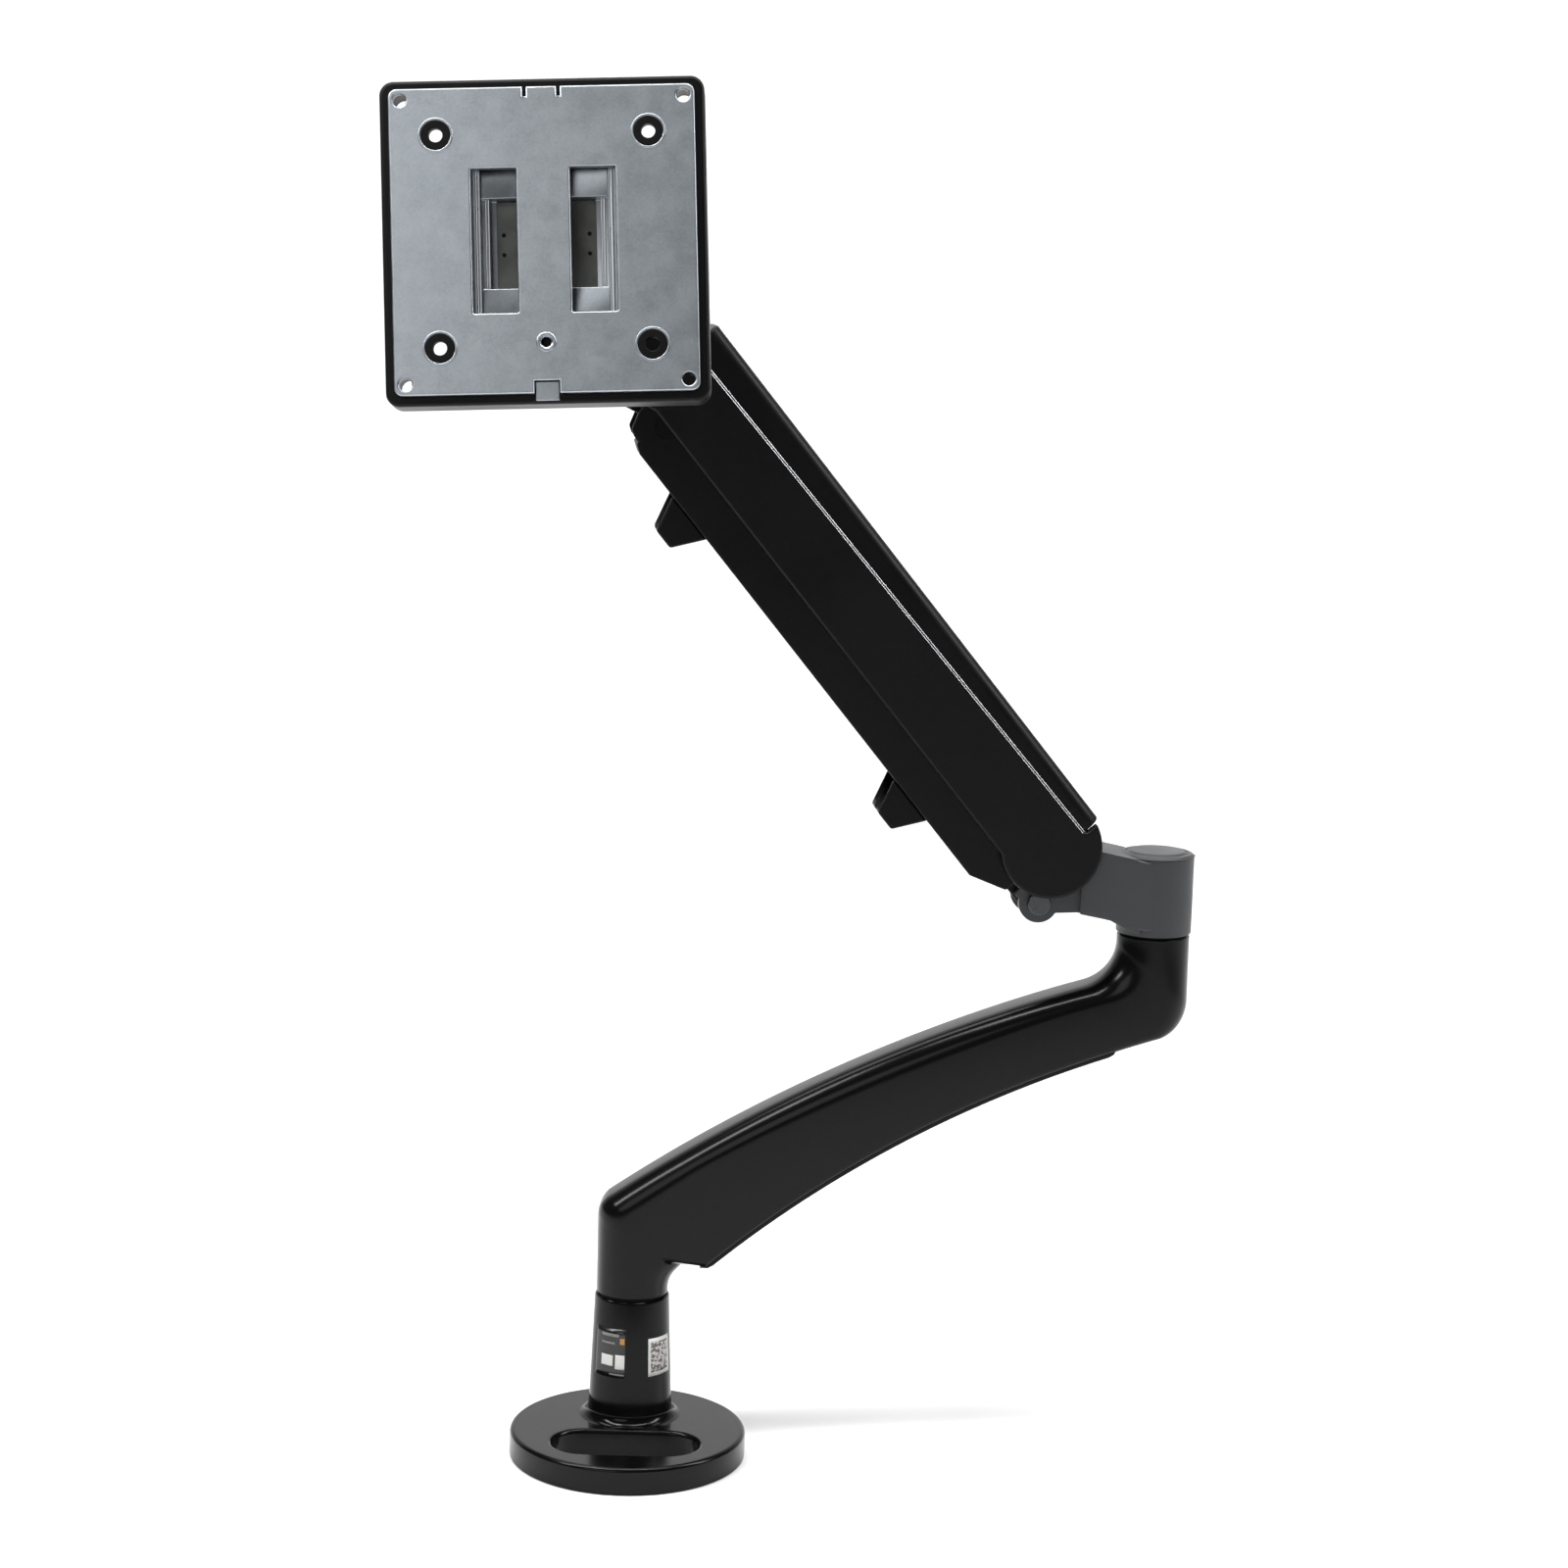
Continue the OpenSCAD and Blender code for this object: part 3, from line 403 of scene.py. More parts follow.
def surface(name, points, faces, body, coat, replaced=(), normals=None, look=None):
    """A smooth-shaded mesh object that rides on a body, from points in metres and faces."""
    mesh = bpy.data.meshes.new(name)
    mesh.from_pydata(np.asarray(points).tolist(), [], [tuple(f) for f in faces])
    mesh.validate()
    mesh.shade_smooth()
    if normals is not None:
        mesh.normals_split_custom_set_from_vertices(np.asarray(normals).tolist())
    mesh.materials.append(look or coats[coat])
    made = bpy.data.objects.new(name, mesh)
    bpy.context.scene.collection.objects.link(made)
    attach(made, body)
    if replaced:
        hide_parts(*replaced)
    return made


def grid(rows, columns, start=0):
    """Faces between rows of points, each row a closed ring."""
    i, j = np.meshgrid(np.arange(rows - 1), np.arange(columns), indexing="ij")
    k = (j + 1) % columns
    quads = np.stack([i * columns + j, (i + 1) * columns + j, (i + 1) * columns + k, i * columns + k], -1)
    return (start + quads).reshape(-1, 4)


def slab(name, outline, holes, low, high, ease_low, ease_high, place, body, coat, replaced=(), look=None):
    """A plate with holes: each outline in the frame's x and y is carried down from height high to height low, moved
    in by radius (1 - cos a) while the height changes by radius (1 - sin a), so that both rims are rounded by a
    quarter circle. Flat caps close it. Millimetres."""
    points, normals, faces, tops, bottoms, count = [], [], [], [], [], 0
    a1, a0 = np.radians(np.linspace(90, 0, 6)), np.radians(np.linspace(0, -90, 6))
    inset = np.concatenate([ease_high * (1 - np.cos(a1)), ease_low * (1 - np.cos(a0))])
    height = np.concatenate([high - ease_high * (1 - np.sin(a1)), low + ease_low * (1 + np.sin(a0))])
    tip = np.concatenate([a1, a0])
    for number, loop in enumerate([outline, *holes]):
        p = np.asarray(loop, float)
        q = np.roll(p, -1, 0)
        area = (p[:, 0] * q[:, 1] - q[:, 0] * p[:, 1]).sum()
        if (area < 0) == (number == 0):
            p = p[::-1]
        step = np.roll(p, -1, 0) - p
        size = np.linalg.norm(step, axis=1)
        out = np.stack([step[:, 1], -step[:, 0]], 1) / size[:, None]
        before, before_size = np.roll(out, 1, 0), np.roll(size, 1)
        miter = (out + before) / (1 + (out * before).sum(1))[:, None]
        face_way = out * size[:, None] + before * before_size[:, None]
        face_way /= np.linalg.norm(face_way, axis=1)[:, None]
        ring = p[None] - inset[:, None, None] * miter[None]
        rows, columns = ring.shape[:2]
        level = np.broadcast_to(height[:, None, None], (rows, columns, 1))
        lean = np.broadcast_to(np.sin(tip)[:, None, None], (rows, columns, 1))
        points.append(np.concatenate([ring, level], -1).reshape(-1, 3))
        normals.append(np.concatenate([np.cos(tip)[:, None, None] * face_way[None], lean], -1).reshape(-1, 3))
        faces.extend(grid(rows, columns, count).tolist())
        tops.append(count + np.arange(columns))
        bottoms.append(count + (rows - 1) * columns + np.arange(columns))
        count += rows * columns
    points, normals = np.concatenate(points), np.concatenate(normals)
    for loops, sign in ((tops, 1), (bottoms, -1)):
        index = np.concatenate(loops)
        found = np.array(tessellate_polygon([list(map(Vector, points[loop])) for loop in loops]))
        tri = index[found]
        a, b, c = points[tri[:, 0]], points[tri[:, 1]], points[tri[:, 2]]
        flip = np.sign(np.cross(b - a, c - a)[:, 2]) != sign
        tri[flip] = tri[flip][:, ::-1]
        faces.extend(tri.tolist())
    return surface(name, placed(points, place), faces, body, coat, replaced, (place[:3, :3] @ normals.T).T, look)


def loft(name, rings, place, body, coat, replaced=(), flat=30, look=None):
    """A skin over closed rings of points, both ends closed by flat faces, turned so that it faces outward. Edges
    sharper than flat degrees stay crisp. Millimetres."""
    rings = np.asarray(rings, float)
    rows, columns = rings.shape[:2]
    faces = grid(rows, columns)
    points = rings.reshape(-1, 3)
    a, b, c, d = (points[faces[:, k]] for k in range(4))
    whole = points.mean(0)
    if (np.cross(c - a, d - b) * ((a + b + c + d) / 4 - whole)).sum() < 0:
        faces = faces[:, ::-1]
        ends = [np.arange(columns), (rows - 1) * columns + np.arange(columns)[::-1]]
    else:
        ends = [np.arange(columns)[::-1], (rows - 1) * columns + np.arange(columns)]
    closed = faces.tolist() + [end.tolist() for end in ends]
    made = surface(name, placed(points, place), closed, body, coat, replaced, None, look)
    made.data.set_sharp_from_angle(angle=math.radians(flat))
    return made


def turned(name, profile, place, body, coat, replaced=(), n=96, flat=35):
    """A profile of radius and height turned about the frame's z axis. Its ends lie on the axis, and a fan of
    triangles closes each."""
    r, z = np.asarray(profile, float).T
    a = np.linspace(0, 2 * math.pi, n, endpoint=False)
    inner = slice(1, len(r) - 1)
    ring = np.stack(np.broadcast_arrays(r[inner, None] * np.cos(a), r[inner, None] * np.sin(a), z[inner, None]), -1)
    ring = ring.reshape(-1, 3)
    points = np.concatenate([ring, [[0, 0, z[0]], [0, 0, z[-1]]]])
    rows = len(r) - 2
    faces = grid(rows, n)[:, ::-1]
    j = np.arange(n)
    after, last = (j + 1) % n, (rows - 1) * n
    low_fan = np.stack([np.full(n, len(ring)), after, j], 1)
    top_fan = np.stack([np.full(n, len(ring) + 1), last + j, last + after], 1)
    closed = faces.tolist() + low_fan.tolist() + top_fan.tolist()
    made = surface(name, placed(points, place), closed, body, coat, replaced)
    made.data.set_sharp_from_angle(angle=math.radians(flat))
    return made


def eased(name, radius):
    """A copy of a CAD node, its doubled corners merged and flat regions joined, with every edge over 30 degrees
    rounded to a small radius."""
    source = nodes[name]
    build = bmesh.new()
    build.from_mesh(source.data)
    bmesh.ops.remove_doubles(build, verts=build.verts, dist=0.002 * mm)
    bmesh.ops.dissolve_limit(build, angle_limit=math.radians(0.6), verts=build.verts, edges=build.edges)
    mesh = bpy.data.meshes.new(name + "_eased")
    build.to_mesh(mesh)
    build.free()
    mesh.materials.append(source.data.materials[0])
    made = bpy.data.objects.new(name + "_eased", mesh)
    bpy.context.scene.collection.objects.link(made)
    mesh.shade_smooth()
    mesh.set_sharp_from_angle(angle=math.radians(30))
    bevel = made.modifiers.new("ease", "BEVEL")
    bevel.width, bevel.segments, bevel.limit_method = radius * mm, 3, "ANGLE"
    bevel.angle_limit, bevel.use_clamp_overlap, bevel.harden_normals = math.radians(30), False, True
    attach(made, source["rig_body"])
    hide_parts(name)
    return made


def turn_x(a):
    """A turn of a degrees about x."""
    c, s = math.cos(math.radians(a)), math.sin(math.radians(a))
    return np.array([[1, 0, 0], [0, c, -s], [0, s, c]])


def turn_y(a):
    """A turn of a degrees about y."""
    c, s = math.cos(math.radians(a)), math.sin(math.radians(a))
    return np.array([[c, 0, s], [0, 1, 0], [-s, 0, c]])


slot_of = {row["node"]: row["material_slot"] for row in frame["record"]["subparts"]}
world_frame = np.eye(4)
PLATE_TILT, PLATE_ROLL = 8.8, 2.8     # degrees
plate_turned = turn_x(-PLATE_TILT) @ turn_y(-PLATE_ROLL)
plate_frame = local(tilt, plate_turned[:, 0], plate_turned[:, 2])     # its z comes out of the plate's face
lower_frame = local((0, 0, 0), lower_way, up)                         # its z goes to the front
arm_frame = local(lift, arm_way, unit(np.cross(np.cross(arm_way, up), arm_way)))     # its z goes to the back

# ---- lower arm ----
POST, LENGTH, LOW, HIGH = 14.4, 204.0, 62.4, 213.6     # post radius, pivot to pivot, socket foot, post top
TOP_ARC = (-6, 105.7), (180.3, 193.8), 7.9             # both ends and the sag of the arm's top edge
UNDER_ARC = (36, 79.9), (194.3, 167.3), 8.7            # the same for its underside
COVER_T = 3.0                                          # cable cover
SMOOTH = 34                                            # degrees up to which a loft's skin is smooth


def bulge(a, b, sag):
    """The middle and radius of the arc through a and b that rises by sag over their chord."""
    a, b = np.asarray(a, float), np.asarray(b, float)
    c = np.linalg.norm(b - a)
    r = (c * c / 4 + sag * sag) / (2 * sag)
    return (a + b) / 2 - np.array([a[1] - b[1], b[0] - a[0]]) / c * (r - sag), r


def cast_arm():
    """The cast lower arm: a rounded rectangle carried along the arm, its height from the underside's curve to the
    top's curve, round at the socket and at the post, with wide top corners and narrow bottom ones between."""
    top_c, top_r = bulge(*TOP_ARC)
    low_c, low_r = bulge(*UNDER_ARC)
    low_r += 1.4
    rs, rc, rt = 11.0, 18.0, 16.0     # shoulder, crown and toe radii
    fork, step = (20.2, 75.2), (23.4, 76.6)     # where the socket's hollow meets the underside
    sx = -POST + rs
    shoulder = np.array([sx, top_c[1] + math.sqrt((top_r - rs) ** 2 - (sx - top_c[0]) ** 2)])
    cx = LENGTH - POST - rc
    crown = np.array([cx, min(HIGH - 1.6, top_c[1] + math.sqrt((top_r + rc) ** 2 - (cx - top_c[0]) ** 2))])
    tx = LENGTH + POST - rt
    toe = np.array([tx, low_c[1] + math.sqrt((low_r + rt) ** 2 - (tx - low_c[0]) ** 2)])
    a_sh, a_cr, a_toe = angle_to(top_c, shoulder), angle_to(top_c, crown), angle_to(low_c, toe)
    a_heel = angle_to(low_c, (29.4, 76.2))
    heel = arc(low_c, low_r, a_heel, a_heel, 1)[0]
    first = arc(top_c, top_r, a_sh, a_cr, 200)
    foot = first[:, 0] < 24
    inner = np.concatenate([[[POST, 64]], arc((POST + 12, 64), 12, 180, 142, 8), [fork]])
    top = [along([(-POST, LOW), (-POST, 72)], 8), along([(-POST, 72), (-POST, shoulder[1])], 9)[1:],
           arc(shoulder, rs, 180, a_sh, 17)[1:], along(first[foot], 10)[1:], along(first[~foot], 60)[1:],
           arc(crown, rc, a_cr - 180, 0, 25)[1:], along([(LENGTH - POST, crown[1]), (LENGTH - POST, HIGH)], 6)[1:]]
    low = [along([(POST, LOW), (POST, 64)], 8), along(inner, 9)[1:],
           along([fork, step], 17)[1:], along([step, heel], 10)[1:],
           arc(low_c, low_r, a_heel, a_toe, 60)[1:],
           arc(toe, rt, a_toe - 180, 0, 25)[1:], along([(LENGTH + POST, toe[1]), (LENGTH + POST, HIGH)], 6)[1:]]
    top, low = np.concatenate(top), np.concatenate(low)
    share = np.clip(np.interp(np.arange(len(top)), [0, 7, 32, 41, 88, 100, 130], [0, 0, 0.8, 1, 1, 0.75, 0]), 0, 1)
    share = share * share * (3 - 2 * share)
    width = POST - 0.4 * share
    corner_top, corner_low = POST - 5.2 * share, POST - 11.4 * share
    tall = np.linalg.norm(top - low, axis=1)
    corner_top, corner_low = np.minimum(corner_top, tall / 2), np.minimum(corner_low, tall / 2)
    a = np.radians(np.linspace(0, 90, 12))
    b = a[::-1]
    w, ct, cl, flank = width[:, None], corner_top[:, None], corner_low[:, None], (tall - corner_top)[:, None]
    y = np.concatenate([w - ct * (1 - np.cos(a)), -w + ct * (1 - np.cos(b)),
                        -w + cl * (1 - np.cos(a)), w - cl * (1 - np.cos(b))], 1)
    h = np.concatenate([flank + ct * np.sin(a), flank + ct * np.sin(b), cl * (1 - np.sin(a)), cl * (1 - np.sin(b))], 1)
    rise = (top - low) / tall[:, None]
    plane = low[:, None, :] + rise[:, None, :] * h[..., None]
    rings = np.concatenate([plane, y[..., None]], -1)
    middle = rings.mean(1, keepdims=True)
    drawn_in = middle + (rings - middle) * (1 - 0.6 / POST)
    rings[0, :, 1] += 0.6
    rings[-1, :, 1] -= 0.6
    rings = np.concatenate([drawn_in[:1], rings, drawn_in[-1:]])
    return loft("cast_lower_arm", rings, lower_frame, nodes["lower_arm"]["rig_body"], "satin_black_casting",
                ["lower_arm"], SMOOTH)


cast_arm()


def rolled_off(distance):
    """How far a ski tip has risen at a distance from its end: 1 at the end, 0 after 4.5 mm, along a quarter circle."""
    return 1 - np.sqrt(np.clip(1 - (1 - np.clip(distance / 4.5, 0, 1)) ** 2, 0, 1))


def cable_strip():
    """The cable cover: a strip 25 mm wide carried along the arc of the arm's underside, its lower corners rounded
    and its two ends rolled off like a ski tip."""
    low_c, low_r = bulge(*UNDER_ARC)
    start, end = angle_to(low_c, UNDER_ARC[0]), angle_to(low_c, UNDER_ARC[1])
    a = np.radians(np.linspace(start + 1.15, end + 0.4, 90))
    run = (a[0] - a) * low_r
    run_end = (a - a[-1]) * low_r
    deep = COVER_T - 3.6 * np.maximum(rolled_off(run), rolled_off(run_end))
    t = np.radians(np.linspace(0, 90, 7))
    w = np.concatenate([[12.5, -12.5], -12.5 + 1.3 * (1 - np.cos(t)), 12.5 - 1.3 * (1 - np.cos(t[::-1]))])
    share = np.concatenate([[-0.3, -0.3], 1 - 0.4 * (1 - np.sin(t)), 1 - 0.4 * (1 - np.sin(t[::-1]))])
    radius = low_r + COVER_T - np.maximum(deep, 0.2)[:, None] * share[None]
    x, z = low_c[0] + radius * np.cos(a)[:, None], low_c[1] + radius * np.sin(a)[:, None]
    rings = np.stack([x, z, np.broadcast_to(w, x.shape)], -1)
    return loft("cable_cover_strip", rings, lower_frame, nodes["cable_cover"]["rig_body"], slot_of["cable_cover"],
                ["cable_cover"], SMOOTH)


cable_strip()

# ---- upper arm ----
ARM = 236.4                # pivot to pivot
ROUND_0, ROUND_1 = 20, 19  # end radii at the knuckle and at the head
EDGE_END = 3.5             # the straight top edge runs this far past each pivot
LOW_EDGE = 17              # the bottom edge lies this far below the pivot line
CHEEK_OUT, CHEEK_IN = 19, 15


def edge_height(u):
    """Height of the upper channel's top edge over the pivot line."""
    return 14.1 - 5.2 * (u + EDGE_END) / (ARM + 2 * EDGE_END)


def cheek_outline():
    """The upper channel from the side: a round end of 20 mm at the knuckle, 19 mm at the head, straight between."""
    a = math.degrees(math.asin(LOW_EDGE / ROUND_0))
    b = math.degrees(math.asin(LOW_EDGE / ROUND_1))
    left = arc((0, 0), ROUND_0, math.degrees(math.acos(-EDGE_END / ROUND_0)), 360 - a, 60)
    right = arc((ARM, 0), ROUND_1, b - 180, math.degrees(math.acos(EDGE_END / ROUND_1)), 60)
    top = [[ARM + EDGE_END, edge_height(ARM + EDGE_END)], [-EDGE_END, edge_height(-EDGE_END)]]
    return np.concatenate([left, right, top])


arm_body = nodes["upper_channel"]["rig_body"]
cheek = eased_corners(cheek_outline(), 0.8, 4)
bores = [disc(5.05), disc(5.05, (ARM, 0)), disc(3.05, (ARM - 32.4, -3))]
slab("channel_cheek_front", cheek, [], -CHEEK_OUT, -CHEEK_IN, 1.3, 0.3, arm_frame, arm_body, "textured_channel",
     ["upper_channel"])
slab("channel_cheek_back", cheek, bores, CHEEK_IN, CHEEK_OUT, 0.3, 1.3, arm_frame, arm_body, "textured_channel")
web = [[16, 10.6], [ARM - 16, 6.2], [ARM - 16, edge_height(ARM - 16)], [16, edge_height(16)]]
slab("channel_web", eased_corners(web, 0.4, 3), [], -15.05, 15.05, 0.1, 0.1, arm_frame, arm_body,
     "textured_channel")


def highlight_chamfer():
    """The front cheek's top edge as a flat 45 degree chamfer: a triangle 1 mm high and deep carried along
    it, its long side facing up and out, coloured bright metal as a painted highlight."""
    u = np.linspace(-2.6, ARM + 2.6, 30)
    foot, tip = edge_height(u) - 0.95, edge_height(u) + 0.04
    outer, inner = np.full(30, -CHEEK_OUT - 0.04), np.full(30, -CHEEK_OUT + 0.95)
    rings = np.stack([np.stack([u, foot, outer], -1), np.stack([u, tip, inner], -1),
                      np.stack([u, foot, inner], -1)], 1)
    return loft("channel_edge_chamfer", rings, arm_frame, arm_body, "textured_channel", (), 20, edge_highlight_look)


highlight_chamfer()


def cover_shell():
    """The plastic cover: a flat-bottomed section with 5 mm top corners carried along the arm, its foot on the
    channel's sloping edge, and its two ends drawn in along a quarter circle."""
    half, corner, soft, past, sill = 18, 5, 1.2, 3, 16.5
    a, t = np.radians(np.linspace(0, 90, 9)), np.radians(np.linspace(0, 90, 6))
    u = np.concatenate([-past + soft - soft * np.cos(t), np.linspace(2, ARM - 2, 40),
                        ARM + past - soft + soft * np.sin(t)])
    pull = np.concatenate([soft * (1 - np.sin(t)), np.zeros(40), soft * (1 - np.cos(t))])
    w = np.concatenate([half - corner * (1 - np.cos(a)), -half + corner * (1 - np.cos(a[::-1])),
                        [-half, -half, half, half]])
    top = np.concatenate([sill + corner * np.sin(a), sill + corner * np.sin(a[::-1])])
    foot = edge_height(u)
    v = np.concatenate([top[None] - pull[:, None], np.stack([foot + 0.3, foot + 0.02, foot + 0.02, foot + 0.3], 1)], 1)
    side = np.broadcast_to(w, v.shape) * ((half - pull) / half)[:, None]
    rings = np.stack([np.broadcast_to(u[:, None], v.shape), v, side], -1)
    return loft("top_cover_shell", rings, arm_frame, nodes["top_cover"]["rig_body"], slot_of["top_cover"],
                ["top_cover"], SMOOTH)


cover_shell()

# ---- knuckle's neck ----
knuckle_frame = local((elbow[0], elbow[1], lift[2]), knuckle_way, up)
neck = [[1, -34.2], [14, -32.7], [20, -29.4], [32.3, -26.8], [32.3, -0.5], [31, -0.45], [10, -5.0], [1, -6.6]]
slab("knuckle_neck", eased_corners(neck, 1.2, 5), [], -14.6, 14.6, 1.3, 1.3, knuckle_frame,
     nodes["knuckle"]["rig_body"], "grey_casting")

pin_frame = local(link, arm_way, arm_frame[:3, 1])
slab("link_pin_cap", disc(4.3, (ARM, 0)), [], -14.95, -14.6, 0.1, 0.1, pin_frame, nodes["link_head_pin"]["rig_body"],
     "black_plastic")

# ---- head ----
def four(half):
    """The corners of a square, by its half side."""
    return [(x, z) for x in (-half, half) for z in (-half, half)]


HOUSING, PLATE = 115, 108                   # sides
RING_HALF, CORNER_HALF, WINDOW_X = 37.5, 50, 17.5
SEAM, FACE = 32.0, 48                       # housing back to housing frame, and the plate's face
PLATE_SCREW = (0, -36)
housing = rectangle(HOUSING, HOUSING, 5, n=12)
plate_body = nodes["head_plate"]["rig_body"]
thread_holes = [disc(6, at) for at in four(RING_HALF)]
corner_holes = [disc(3.3, at) for at in four(CORNER_HALF)]
pockets = [rectangle(20, 60, 0.8, (x, 0)) for x in (-WINDOW_X, WINDOW_X)]
slab("housing_frame", housing, thread_holes + corner_holes + pockets + [disc(8.0)], SEAM, 44.6, 0.25, 1.6, plate_frame,
     plate_body, slot_of["head_housing"], ["head_housing"])
slab("housing_back", housing, thread_holes + corner_holes + [disc(10.05)], 27.1, SEAM, 2.2, 0.25, plate_frame,
     plate_body, slot_of["head_housing"])


def plate_outline():
    """The zinc-plated plate: a square with a tab cut free between two slots at the top and a notch at the bottom."""
    s, t, slot, deep, notch = PLATE / 2, 0.6, 6, 3.5, 4.5
    square = rectangle(PLATE, PLATE, 3, n=8)
    top = [[x, y] for mid in (slot, -slot)
           for x, y in ((mid + t, s), (mid + t, s - deep), (mid - t, s - deep), (mid - t, s))]
    low = [[-notch, -s], [-notch, -s + notch], [notch, -s + notch], [notch, -s]]
    x, z = square.T
    right = square[(x > 0) & (z < 0)], square[(x > 0) & (z > 0)]
    left = square[(x < 0) & (z > 0)], square[(x < 0) & (z < 0)]
    return np.concatenate([low, right[0], right[1], top, left[0], left[1]])


holes = ([rectangle(16, 51, 0.5, (x, 0), 3) for x in (-WINDOW_X, WINDOW_X)] + [disc(5.3, at) for at in four(RING_HALF)]
         + [disc(2.3, at, 32) for at in four(CORNER_HALF)] + [disc(1.7, PLATE_SCREW, 32)])
slab("zinc_plate_sheet", plate_outline(), holes, 44.2, FACE, 0.3, 0.7, plate_frame, plate_body, slot_of["head_plate"],
     ["head_plate"])
for k, at in enumerate(four(RING_HALF)):
    slab("rolled_rim_%d" % (k + 1), disc(6.2, at), [disc(5.28, at)], 47.6, 48.35, 0.05, 0.35, plate_frame, plate_body,
         "zinc_steel")
slab("screw_dimple_rim", disc(3.6, PLATE_SCREW), [disc(2.1, PLATE_SCREW)], 47.7, 48.4, 0.05, 0.6, plate_frame,
     plate_body, "zinc_steel")

# ---- base ----
BASE_R, BASE_T, TAPER_TOP = 47, 11, 61.6
SLOT_R, SLOT_HALF, SLOT_RIM = 13, 16, 16     # the cable slot's end radius, half its straight part, the rim before it
base_mid = np.array([0, -16.4])
base_body = nodes["base_disc"]["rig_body"]
slot_mid = base_mid + np.array([0, -(BASE_R - SLOT_R - SLOT_RIM)])
slot_loop = np.concatenate([arc(slot_mid + np.array([SLOT_HALF, 0]), SLOT_R, -90, 90, 25),
                            arc(slot_mid + np.array([-SLOT_HALF, 0]), SLOT_R, 90, 270, 25)])
slab("base_disc_body", disc(BASE_R, base_mid, 160), [slot_loop], 0, BASE_T, 0.8, 1.8, world_frame, base_body,
     slot_of["base_disc"], ["base_disc"])
fillet = 4.2
foot = arc((16.9 + fillet, BASE_T + fillet), fillet, 262, 182, 10)
column = np.concatenate([[[0, BASE_T]], foot, [[16.6, 18.0], [15.02, 60.6], [14.86, 61.2], [14.3, TAPER_TOP],
                                               [0, TAPER_TOP]]])
turned("column_body", column, world_frame, base_body, slot_of["base_column"], ["base_column"])


def sticker(name, middle, width, low, high, off, look, replaced=()):
    """A film patch on the tapered column: angle and height on a grid, radius following the taper plus a small
    offset, given thickness by a Solidify modifier."""
    z = np.linspace(low, high, 9)
    r = np.interp(z, [15.5, 60.6], [16.75, 15.02]) + off
    half = width / 2 / 16.0     # over the column's mean radius
    a = math.radians(middle) + np.linspace(-half, half, 17)
    points = np.stack(np.broadcast_arrays(r[:, None] * np.cos(a), r[:, None] * np.sin(a), z[:, None]), -1)
    points = points.reshape(-1, 3) * mm
    i, j = np.meshgrid(np.arange(8), np.arange(16), indexing="ij")
    faces = np.stack([i * 17 + j, i * 17 + j + 1, (i + 1) * 17 + j + 1, (i + 1) * 17 + j], -1).reshape(-1, 4)
    made = surface(name, points, faces.tolist(), base_body, "label_paper", replaced, None, look)
    thick = made.modifiers.new("film", "SOLIDIFY")
    thick.thickness, thick.offset = 0.08 * mm, 1.0
    return made


FIELD, PRINT = 0.04, 0.13     # a label's film and the print on it, off the column
for name, middle, width, low, high, off, look, replaced in (
        ("front_label_field", -122, 14.5, 30.5, 50.5, FIELD, dark_film, ["front_label"]),
        ("front_label_headline", -120, 8.2, 47.3, 48.5, PRINT, grey_film, ()),
        ("front_label_line", -123, 6.4, 44.2, 45.0, PRINT, grey_film, ()),
        ("front_label_spot", -100.5, 1.9, 44.4, 46.8, PRINT, gold_film, ()),
        ("front_label_block_1", -124.0, 5.6, 35.2, 39.6, PRINT, film, ()),
        ("front_label_block_2", -103.5, 3.9, 34.2, 40.0, PRINT, film, ()),
        ("front_label_foot", -108, 6.2, 31.6, 32.2, PRINT, grey_film, ()),
        ("side_label_field", -40, 12, 31, 46.5, FIELD, film, ["side_label"]),
        ("side_label_panel", -40, 9.6, 32.6, 44.9, PRINT, printed_film, ())):
    sticker(name, middle, width, low, high, off, look, replaced)


def fold(name, side, x, width, depth, tall):
    """A folded rail in a window, its pale metal a painted highlight: a half-round rib carried up the window, its
    section a semicircle on a flat foot."""
    a = np.radians(np.linspace(0, 180, 13))
    h = np.linspace(-tall / 2, tall / 2, 9)
    w = np.concatenate([width / 2 * np.cos(a), [-width / 2, width / 2]])
    d = np.concatenate([depth + width / 2 * np.sin(a), [depth - 0.6, depth - 0.6]])
    rings = np.stack(np.broadcast_arrays(side * (WINDOW_X + x) + w[None], h[:, None], d[None]), -1)
    return loft(name, rings, plate_frame, plate_body, "zinc_steel", (), 50, fold_highlight_look)


for side, word in ((-1, "left"), (1, "right")):
    fold("window_fold_outer_" + word, side, 6.4, 1.1, 43.2, 50)
    fold("window_fold_middle_" + word, side, 3.5, 0.9, 39.2, 31)
    fold("window_fold_inner_" + word, side, 2.5, 0.7, 39.2, 31)
    # the pocket floor's dark grey is painted shade of the recess
    slab("window_floor_" + word, rectangle(9.2, 31.6, 0.6, (side * 13.2, 0)), [], 33.2, 33.5, 0.05, 0.1, plate_frame,
         plate_body, "zinc_steel", (), pocket_shade_look)
    # painted shade: small black discs stand for the dark inside holes in the pocket floor
    for z in (-3, 4):
        slab("window_hole_shade_%s_%d" % (word, z + 4), disc(0.75, (side * 15.3, z), 24), [], 33.45, 33.7, 0.02, 0.1,
             plate_frame, plate_body, "black_plastic")

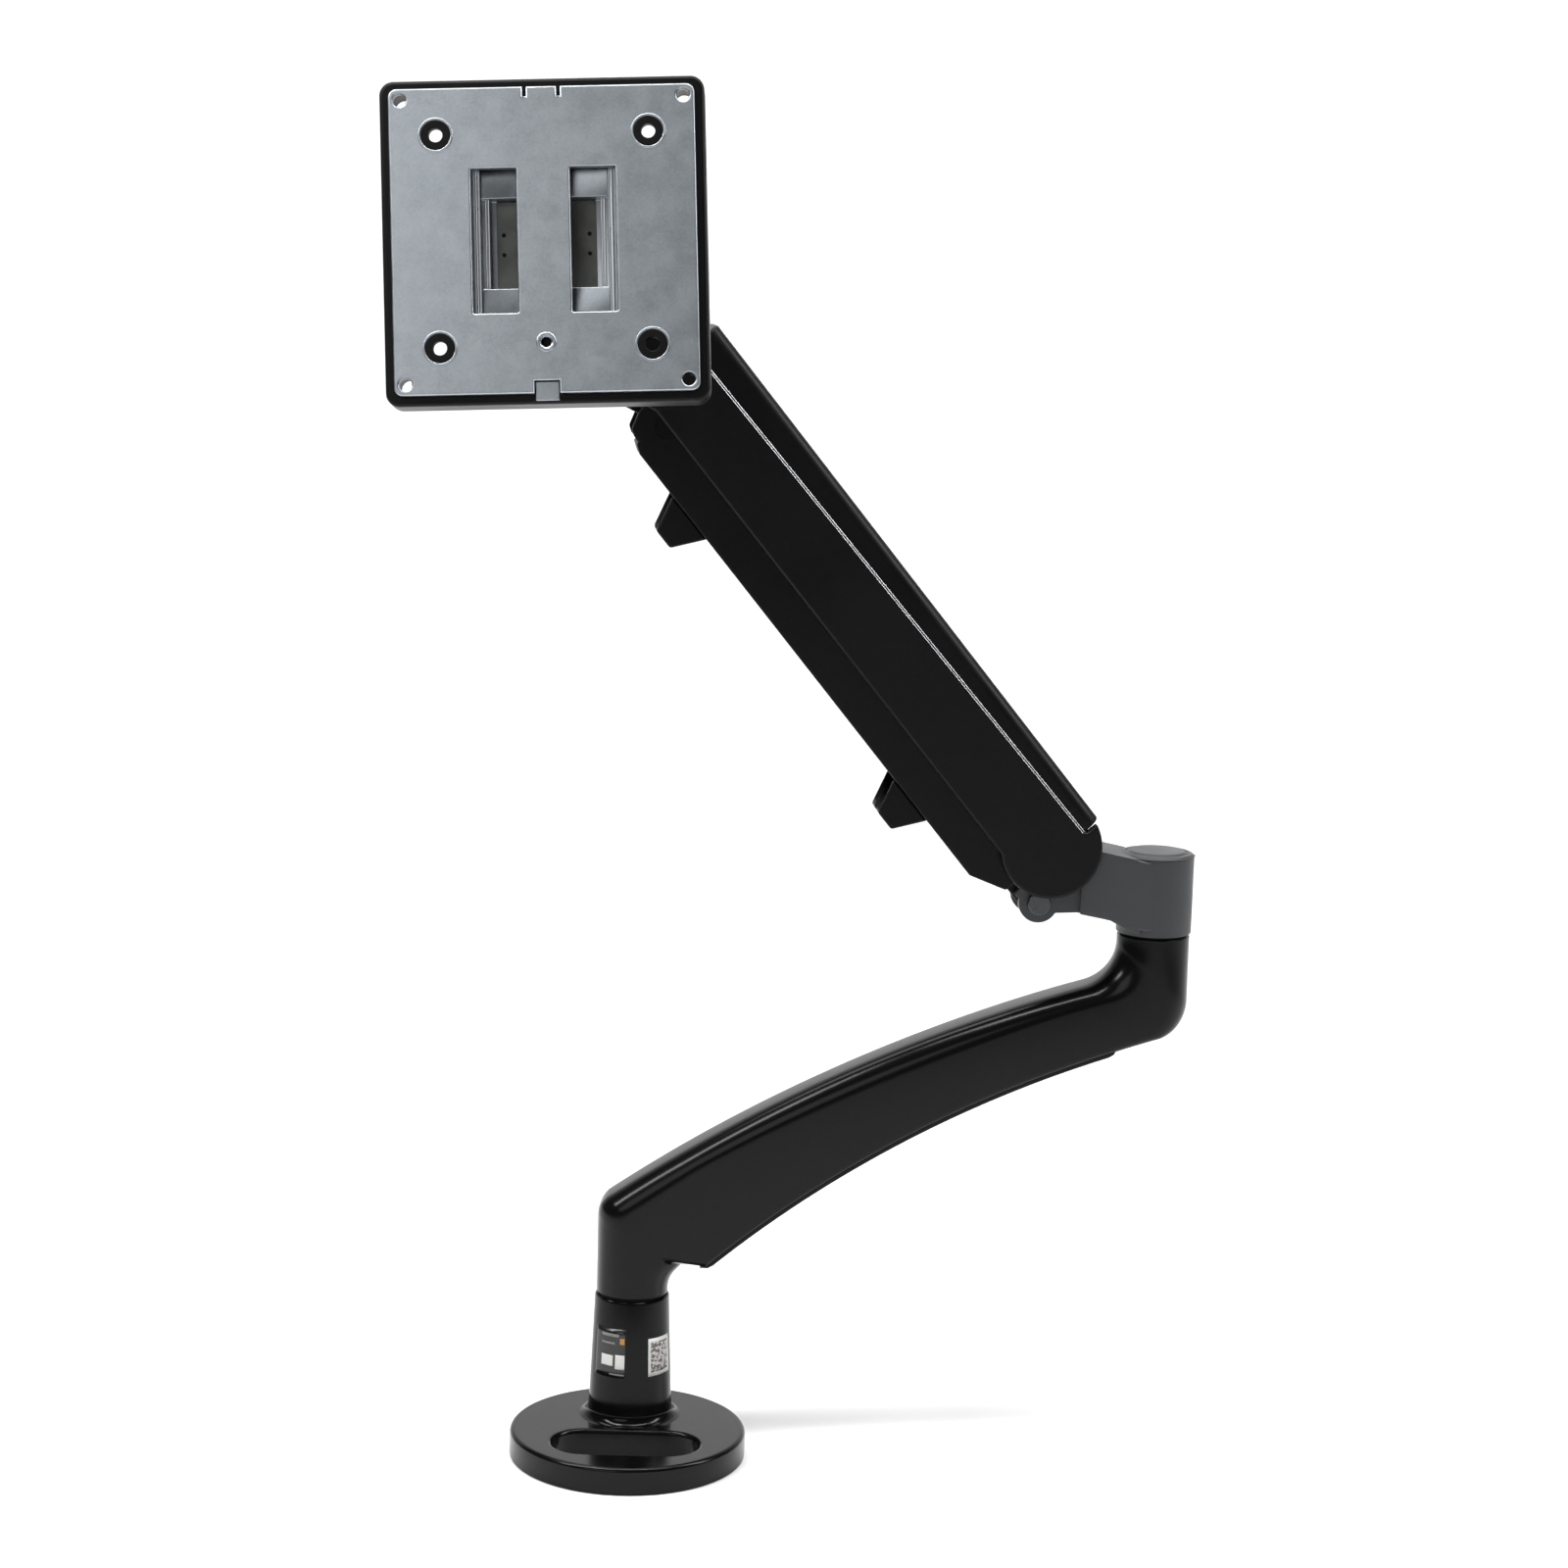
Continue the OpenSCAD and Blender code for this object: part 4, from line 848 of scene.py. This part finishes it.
# ---- everything small keeps its CAD shape, with worn edges ----
rebuilt = {"lower_arm", "upper_channel", "top_cover", "head_housing", "head_plate", "base_disc", "base_column",
           "cable_cover", "front_label", "side_label"}
EDGE = 0.35     # a worn edge's radius, where the piece has none of its own below
edge_of = {"base_washer": 0.15, "elbow_washer": 0.15, "head_washer": 0.15, "anchor_pin": 0.2,
           "knuckle": 0.3, "lower_channel": 0.7, "clip_high": 0.9, "clip_low": 0.9, "hub_cap": 0.3}
for name in sorted(set(nodes) - rebuilt):
    eased(name, edge_of.get(name, EDGE))
bpy.data.objects["link_pin_eased"].data.materials[0] = dark_screw     # blackened, unlike the plain pins


# ---- studio ----
def sweep():
    """Floor and backdrop: a straight run, a quarter turn and a straight wall, drawn out sideways."""
    near, bend_at, radius, tall = -3.2, 1.6, 0.6, 3.4
    turn = np.linspace(0, math.pi / 2, 24)
    y = np.concatenate([[near], bend_at + radius * np.sin(turn), [bend_at + radius]])
    z = np.concatenate([[0.0], radius - radius * np.cos(turn), [tall]])
    x = np.array([-4.0, 4.0])
    points = np.stack(np.broadcast_arrays(x[None, :], y[:, None], z[:, None]), -1).reshape(-1, 3)
    row = np.arange(len(y) - 1)[:, None] * 2
    faces = row + np.array([0, 1, 3, 2])
    mesh = bpy.data.meshes.new("studio_sweep")
    mesh.from_pydata(points.tolist(), [], faces.tolist())
    mesh.shade_smooth()
    made = bpy.data.objects.new("studio_sweep", mesh)
    bpy.context.scene.collection.objects.link(made)
    return made


floor = sweep()
paper = finish("studio_paper", "#f4f4f4", 0.9, Specular_IOR_Level=0.1)
floor.data.materials.append(paper)


def soft_box(name, place, aim, width, height, watts):
    """A white rectangular soft light at a place, facing aim."""
    lamp = bpy.data.lights.new(name, "AREA")
    lamp.shape, lamp.size, lamp.size_y = "RECTANGLE", width, height
    lamp.energy = watts
    made = bpy.data.objects.new(name, lamp)
    bpy.context.scene.collection.objects.link(made)
    made.location = place
    made.rotation_mode = "QUATERNION"
    made.rotation_quaternion = (Vector(aim) - Vector(place)).to_track_quat("-Z", "Y")


soft_box("overhead", (0.1, -0.3, 1.45), (0.08, 0.0, 0.2), 1.3, 0.14, 15)
soft_box("upper_left_strip", (-0.72, -0.3, 1.22), (0.1, 0.0, 0.15), 0.2, 1.1, 14)
soft_box("right_strip", (1.25, -0.12, 1.13), (0.1, 0.0, 0.35), 0.25, 1.0, 14)
soft_box("plate_panel", (-0.85, -2.0, 1.15), (-0.05, -0.1, 0.45), 1.3, 0.9, 7)
soft_box("backdrop_wash", (0.0, 0.9, 2.4), (0.0, 2.2, 0.6), 3.0, 0.8, 46)
world = bpy.data.worlds.new("studio_room")
world.use_nodes = True
backdrop = world.node_tree.nodes["Background"]
backdrop.inputs["Color"].default_value = linear("#8a8a8a")
backdrop.inputs["Strength"].default_value = 0.5
bpy.context.scene.world = world
bpy.context.scene.view_settings.view_transform = "Standard"


# ---- camera ----
def camera():
    """A 75 mm lens on a 36 mm frame, 1.27 m in front of the desk bolt and level with the head, tipped 9.35 degrees
    down and rolled 1.6 degrees."""
    pitch, roll = math.radians(9.349), math.radians(1.591)
    ahead = Vector((0, math.cos(pitch), -math.sin(pitch)))
    right0, up0 = Vector((1, 0, 0)), Vector((0, math.sin(pitch), math.cos(pitch)))
    right = math.cos(roll) * right0 + math.sin(roll) * up0
    upward = math.cos(roll) * up0 - math.sin(roll) * right0
    lens = bpy.data.cameras.new("camera")
    lens.lens, lens.sensor_width = 75.0, 36.0
    made = bpy.data.objects.new("camera", lens)
    bpy.context.scene.collection.objects.link(made)
    turn = Matrix((right, upward, -ahead)).transposed().to_4x4()
    made.matrix_world = Matrix.Translation((0.0555, -1.2655, 0.4789)) @ turn
    bpy.context.scene.camera = made


camera()
